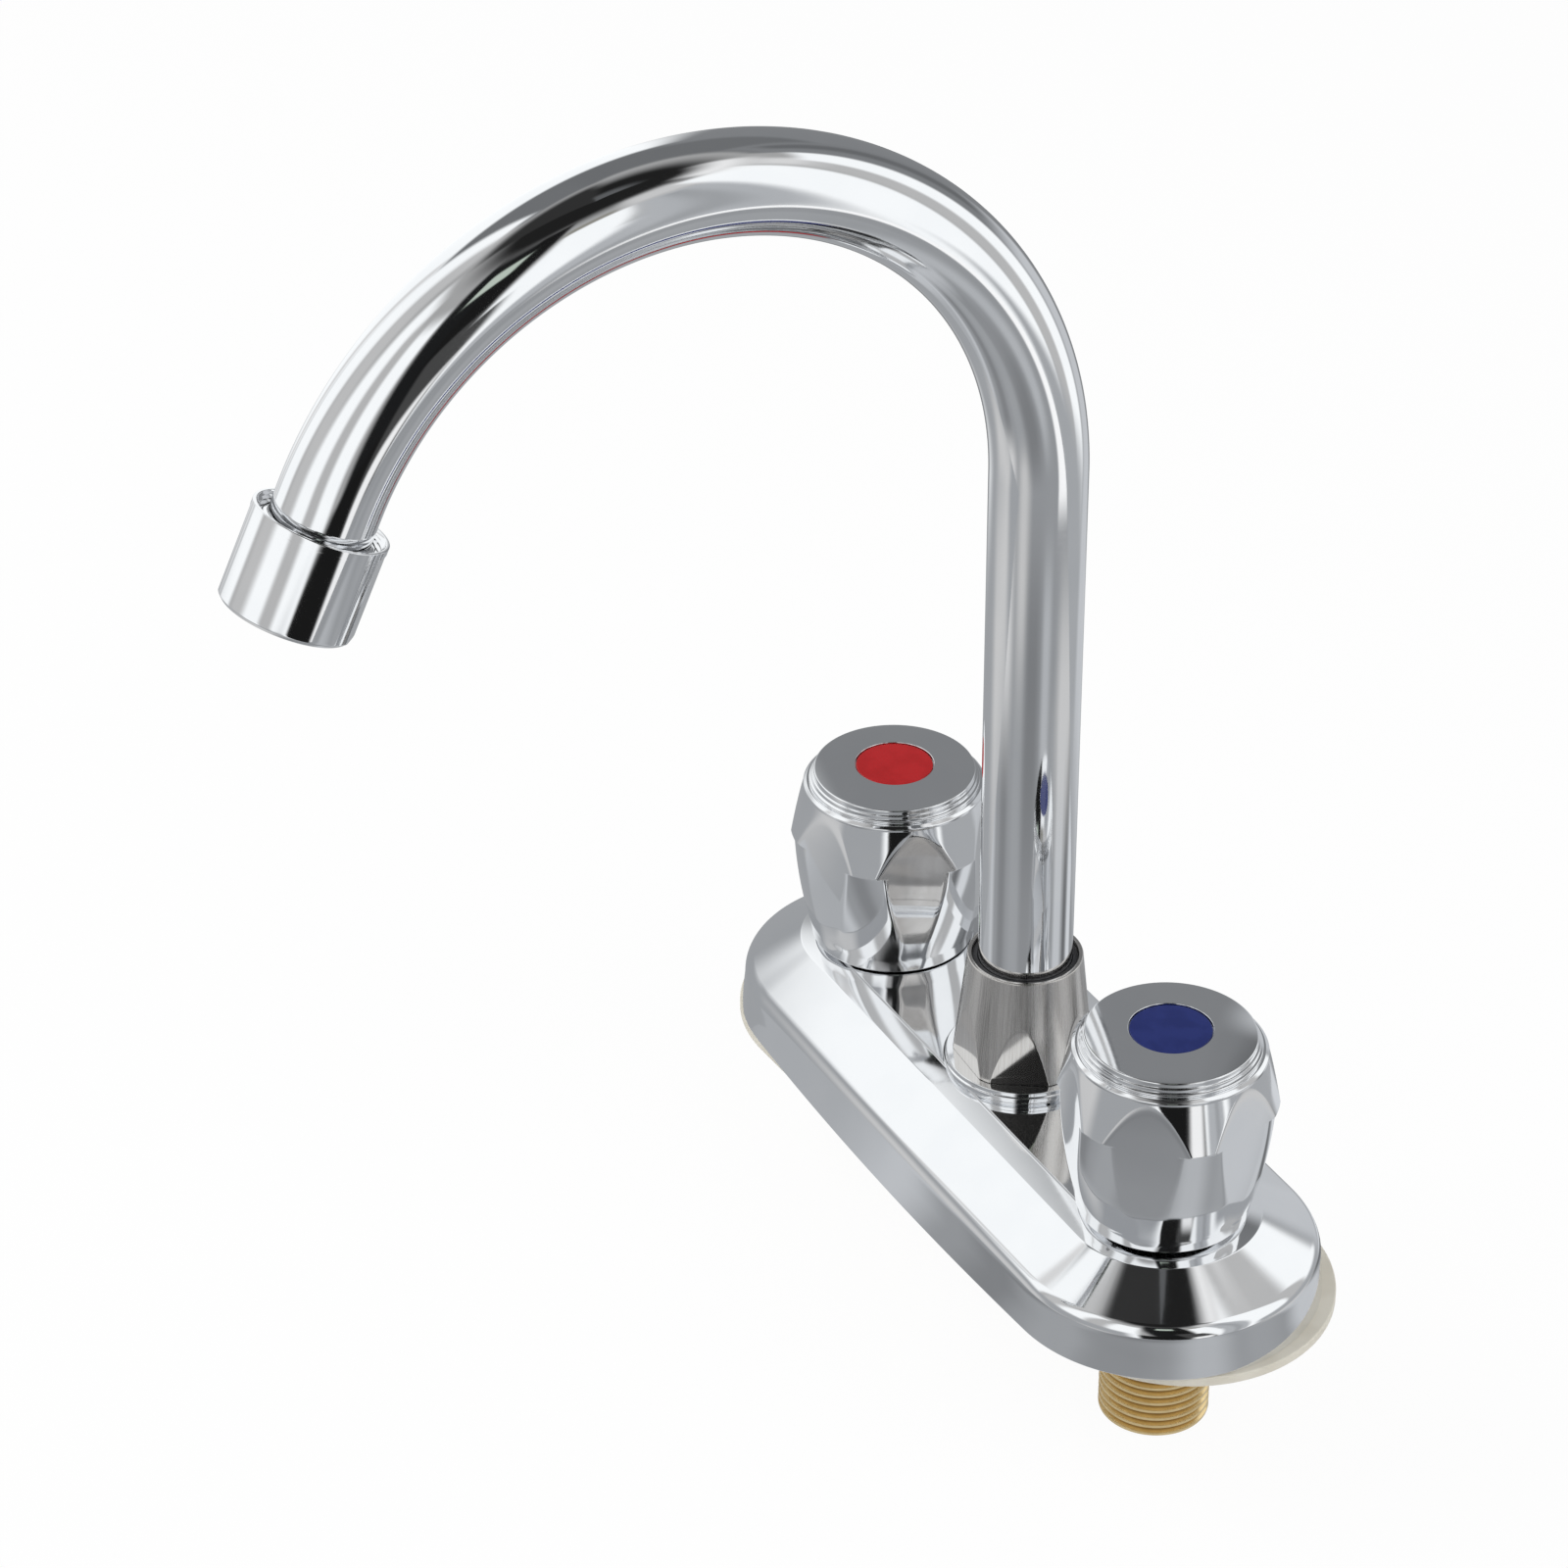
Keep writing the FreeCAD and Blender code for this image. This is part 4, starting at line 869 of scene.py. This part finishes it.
# Each panel: middle azimuth, half width, lean, lowest and highest elevation, softness (degrees), light
TENT_PANELS = (
    (0, 200, 0, -99, 60, 9, tone(0.62)),
    (-150, 30, 0, 55, 99, 5, tone(0.20)),
    (-168, 14, 0, -99, 51, 3, tone(0.43, COOL)),
    (152, 31, 0, -99, 50, 3, tone(0.42, COOL)),
    (182, 21, 0, -99, 19, 2.5, WHITE),
    (-149, 8, -0.1, -99, 48, 2.5, WHITE),
    (-161, 2, 0, -99, 18, 1.5, tone(0.82)),
    (-131, 9, -0.2, -99, 50, 5, tone(0.72)),
    (-110, 12.5, 0, -99, 47, 5, WHITE),
    (-88, 10, -0.1, -99, 42, 6, tone(0.69)),
    (-66, 14, -0.05, -99, 42, 5, WHITE),
    (-22, 21, -0.27, -99, 62, 5, tone(0.13, COOL)),
    (-14, 10, 0, 0, 62, 2, tone(0.12)),
    (-30, 21, 0, -99, -17, 3, tone(0.12)),
    (-6, 13, -0.3, -99, 3, 2.5, tone(0.27)),
    (-28, 10, 0, 37, 50, 2, tone(0.72, GREENISH)),
    (10, 11, 0, -5, 42, 2.5, WHITE),
    (13, 10.5, -0.4, -99, 3, 2.5, WHITE),
    (7, 9, 0, 43, 49, 2, tone(0.53, (1.03, 1.0, 0.88))),
    (34, 12, 0, -99, 41, 3, tone(0.68, COOL)),
    (34, 3, -0.05, -99, 38, 2.5, tone(0.61, COOL)),
    (33, 14, 0, 42, 60, 5, tone(0.76)),
    (62.5, 18, -0.03, -99, 55, 3, WHITE),
    (91, 9, 0, -99, 37, 3.5, tone(0.70)),
    (93, 10, 0, 37, 52, 6, tone(0.82)),
    (110, 10.5, 0, -99, 42, 3, WHITE),
    (131, 11, 0, -99, 48, 3, tone(0.48, COOL)),
    (134, 4, 0, -99, 42, 3, tone(0.40, COOL)),
    (180, 60, 0, -99, -26, 5, tone(0.60, COOL)),
    (-120, 60, 0, -99, -16, 7, tone(0.61, COOL)),
    (90, 36, 0, -99, -30, 5, tone(0.63, COOL)),
    (-152, 16, 0, -44, -30, 7, tone(0.76)),
    (6, 9, 0, -60, -31, 4, tone(0.93)),
    (134, 13, 0, -40, -3, 5, tone(0.74, COOL)),
    (154.5, 14, 0, -28, 24, 3, tone(0.49, COOL)),
    (85, 26, 0, 53, 64, 6, tone(0.90)),
    (142, 45, 0, 80, 99, 4, tone(0.36, COOL)),
)
# The grey table below, painted as a reflection on a glowing disc that only metal sees: its panels go by azimuth round
# the riser, and by distance from it in steps of 4 mm
TABLE_R = 372
TABLE_STEP = 4.0
# Painted light: the table's reflection is paler round the deck plate
TABLE_PALE = tone(0.76, COOL)
PALE_NEAR, PALE_FAR = 34.0, 62.0  # from the deck plate's spine: fully paler, and no paler
PALE_SHARE = 0.75
TABLE_PANELS = (
    (0, 200, 0, -99, 99, 1, tone(0.57, COOL)),
    (-150, 24, 0, -99, 56, 8, tone(0.65, COOL)),
    (-124, 6, 0, -99, 56, 6, tone(0.73, COOL)),
    (-95, 9, 0, -99, 56, 7, tone(0.50, COOL)),
    (-63, 12, 0, -99, 56, 7, tone(0.60, COOL)),
    (-36, 12, 0, -99, 56, 7, tone(0.54, COOL)),
    (-3, 9, 0, -99, 72, 7, tone(0.68, COOL)),
    (19, 7, 0, -99, 56, 6, tone(0.60, COOL)),
    (45, 11, 0, -99, 56, 5, tone(0.74, COOL)),
    (68, 5, 0, -99, 99, 3, tone(0.42, COOL)),
    (86, 8, 0, -99, 99, 4, tone(0.80, COOL)),
    (110, 8, 0, -99, 99, 6, tone(0.56, COOL)),
    (50, 22, 0, 44, 68, 12, tone(0.76)),
    (-102, 18, 0, 54, 99, 10, tone(0.80)),
    (-62, 12, 0, 60, 99, 10, tone(0.74)),
    (-34, 16, 0, 40, 72, 12, tone(0.48, COOL)),
    (155, 12, 0, 24, 44, 8, tone(0.66)),
    (188, 16, 0, 30, 60, 8, tone(0.48)),
    (38, 22, 0, 79, 99, 3, tone(0.97)),
)


def light_map(name, panels, centre, table=False):
    """Light as metal sees it: each panel in turn, on the tent round a centre or on the table round the riser. The
    table is paler near the deck plate."""
    material = bpy.data.materials.new(name)
    material.use_nodes = True
    tree = material.node_tree
    tree.nodes.clear()
    place = tree.nodes.new("ShaderNodeTexCoord")
    away = tree.nodes.new("ShaderNodeVectorMath")
    away.operation = "SUBTRACT"
    away.inputs[1].default_value = centre * MM
    tree.links.new(place.outputs["Object"], away.inputs[0])
    split = tree.nodes.new("ShaderNodeSeparateXYZ")
    tree.links.new(away.outputs[0], split.inputs[0])
    x, y, z = split.outputs
    azimuth = math_node(tree, "DEGREES", math_node(tree, "ARCTAN2", y, x))
    out = length_node(tree, x, y)
    if table:
        elevation = math_node(tree, "MULTIPLY", out, 1 / (TABLE_STEP * MM))
    else:
        elevation = math_node(tree, "DEGREES", math_node(tree, "ARCTAN2", z, out))
    colour = TENT_DARK
    for *terms, light in panels:
        mask = place_group(tree, TENT_PANEL, Azimuth=azimuth, Elevation=elevation, **dict(zip(PANEL_TERMS, terms)))
        colour = two_tones(tree, mask["Mask"], colour, light)
    if table:
        beside = math_node(tree, "SUBTRACT", math_node(tree, "ABSOLUTE", x), HALF * MM)
        apart = length_node(tree, math_node(tree, "MAXIMUM", beside, 0.0), y)
        near = step_node(tree, apart, PALE_FAR * MM, PALE_NEAR * MM)
        colour = two_tones(tree, math_node(tree, "MULTIPLY", near, PALE_SHARE), colour, TABLE_PALE)
    glow = tree.nodes.new("ShaderNodeEmission")
    tree.links.new(colour, glow.inputs["Color"])
    end = tree.nodes.new("ShaderNodeOutputMaterial")
    tree.links.new(glow.outputs[0], end.inputs["Surface"])
    return material


def metal_only(piece):
    """Makes a piece of the studio one that only polished metal sees."""
    piece.visible_camera = False
    piece.visible_diffuse = False
    piece.visible_shadow = False


TENT_PANEL = panel_group()
bpy.ops.mesh.primitive_uv_sphere_add(segments=96, ring_count=48, radius=TENT_R * MM, location=TENT_CENTRE * MM)
tent = bpy.context.object
tent.name = "light_tent"
bpy.ops.object.transform_apply(location=True)
bpy.ops.object.shade_smooth()
tent.data.materials.append(light_map("tent_light", TENT_PANELS, TENT_CENTRE))
metal_only(tent)

# A glowing disc, seen only by metal, with the table's reflection painted on it
bpy.ops.mesh.primitive_circle_add(vertices=96, radius=TABLE_R * MM, fill_type="NGON", location=(0, 0, FLOOR_Z * MM))
table = bpy.context.object
table.name = "grey_table_painted_reflection"
bpy.ops.object.transform_apply(location=True)
table.data.materials.append(light_map("table_light", TABLE_PANELS, Vector((0, 0, 0)), table=True))
metal_only(table)


def seen_straight(tree):
    """1 where a surface is seen itself or in a reflection, 0 where it only sends light on."""
    path = tree.nodes.new("ShaderNodeLightPath")
    return math_node(tree, "MAXIMUM", path.outputs["Is Camera Ray"],
                     math_node(tree, "MAXIMUM", path.outputs["Is Glossy Ray"], path.outputs["Is Transmission Ray"]))


FLOOR_GLOW = 0.95          # the rest is lit by the lamps and shows the shadow


def pale_floor():
    """White to the camera, with a faint shadow of the object."""
    material = bpy.data.materials.new("pale_floor")
    material.use_nodes = True
    tree = material.node_tree
    shader = tree.nodes["Principled BSDF"]
    shader.inputs["Base Color"].default_value = (0.9, 0.9, 0.9, 1)
    shader.inputs["Roughness"].default_value = 0.9
    glow = tree.nodes.new("ShaderNodeEmission")
    mix = tree.nodes.new("ShaderNodeMixShader")
    tree.links.new(math_node(tree, "MULTIPLY", seen_straight(tree), FLOOR_GLOW), mix.inputs[0])
    tree.links.new(shader.outputs[0], mix.inputs[1])
    tree.links.new(glow.outputs[0], mix.inputs[2])
    tree.links.new(mix.outputs[0], tree.nodes["Material Output"].inputs["Surface"])
    return material


floor.data.materials.append(pale_floor())

# Each lamp: name, place and size in metres, power in watts. Both look at a spot on the tap.
LAMPS = (("key_lamp", (-0.5, -0.6, 0.9), 0.7, 6.3), ("fill_lamp", (0.8, 0.3, 0.8), 0.8, 4.2))
LAMP_AIM = Vector((0, 0, 0.05))
for name, spot, size, power in LAMPS:
    lamp_data = bpy.data.lights.new(name, "AREA")
    lamp_data.size = size
    lamp_data.energy = power
    lamp = bpy.data.objects.new(name, lamp_data)
    lamp.location = spot
    lamp.rotation_euler = (LAMP_AIM - Vector(spot)).to_track_quat("-Z", "Y").to_euler()
    lamp.visible_glossy = False
    bpy.context.scene.collection.objects.link(lamp)

WORLD_LIGHT = 0.45         # what the pieces get from it; it shows as full white
world = bpy.data.worlds.new("studio")
bpy.context.scene.world = world
world.use_nodes = True
backdrop = world.node_tree
sky = backdrop.nodes["Background"]
sky.inputs["Color"].default_value = (1, 1, 1, 1)
backdrop.links.new(blend_node(backdrop, seen_straight(backdrop), WORLD_LIGHT, 1.0), sky.inputs["Strength"])

bpy.context.scene.view_settings.view_transform = "Standard"
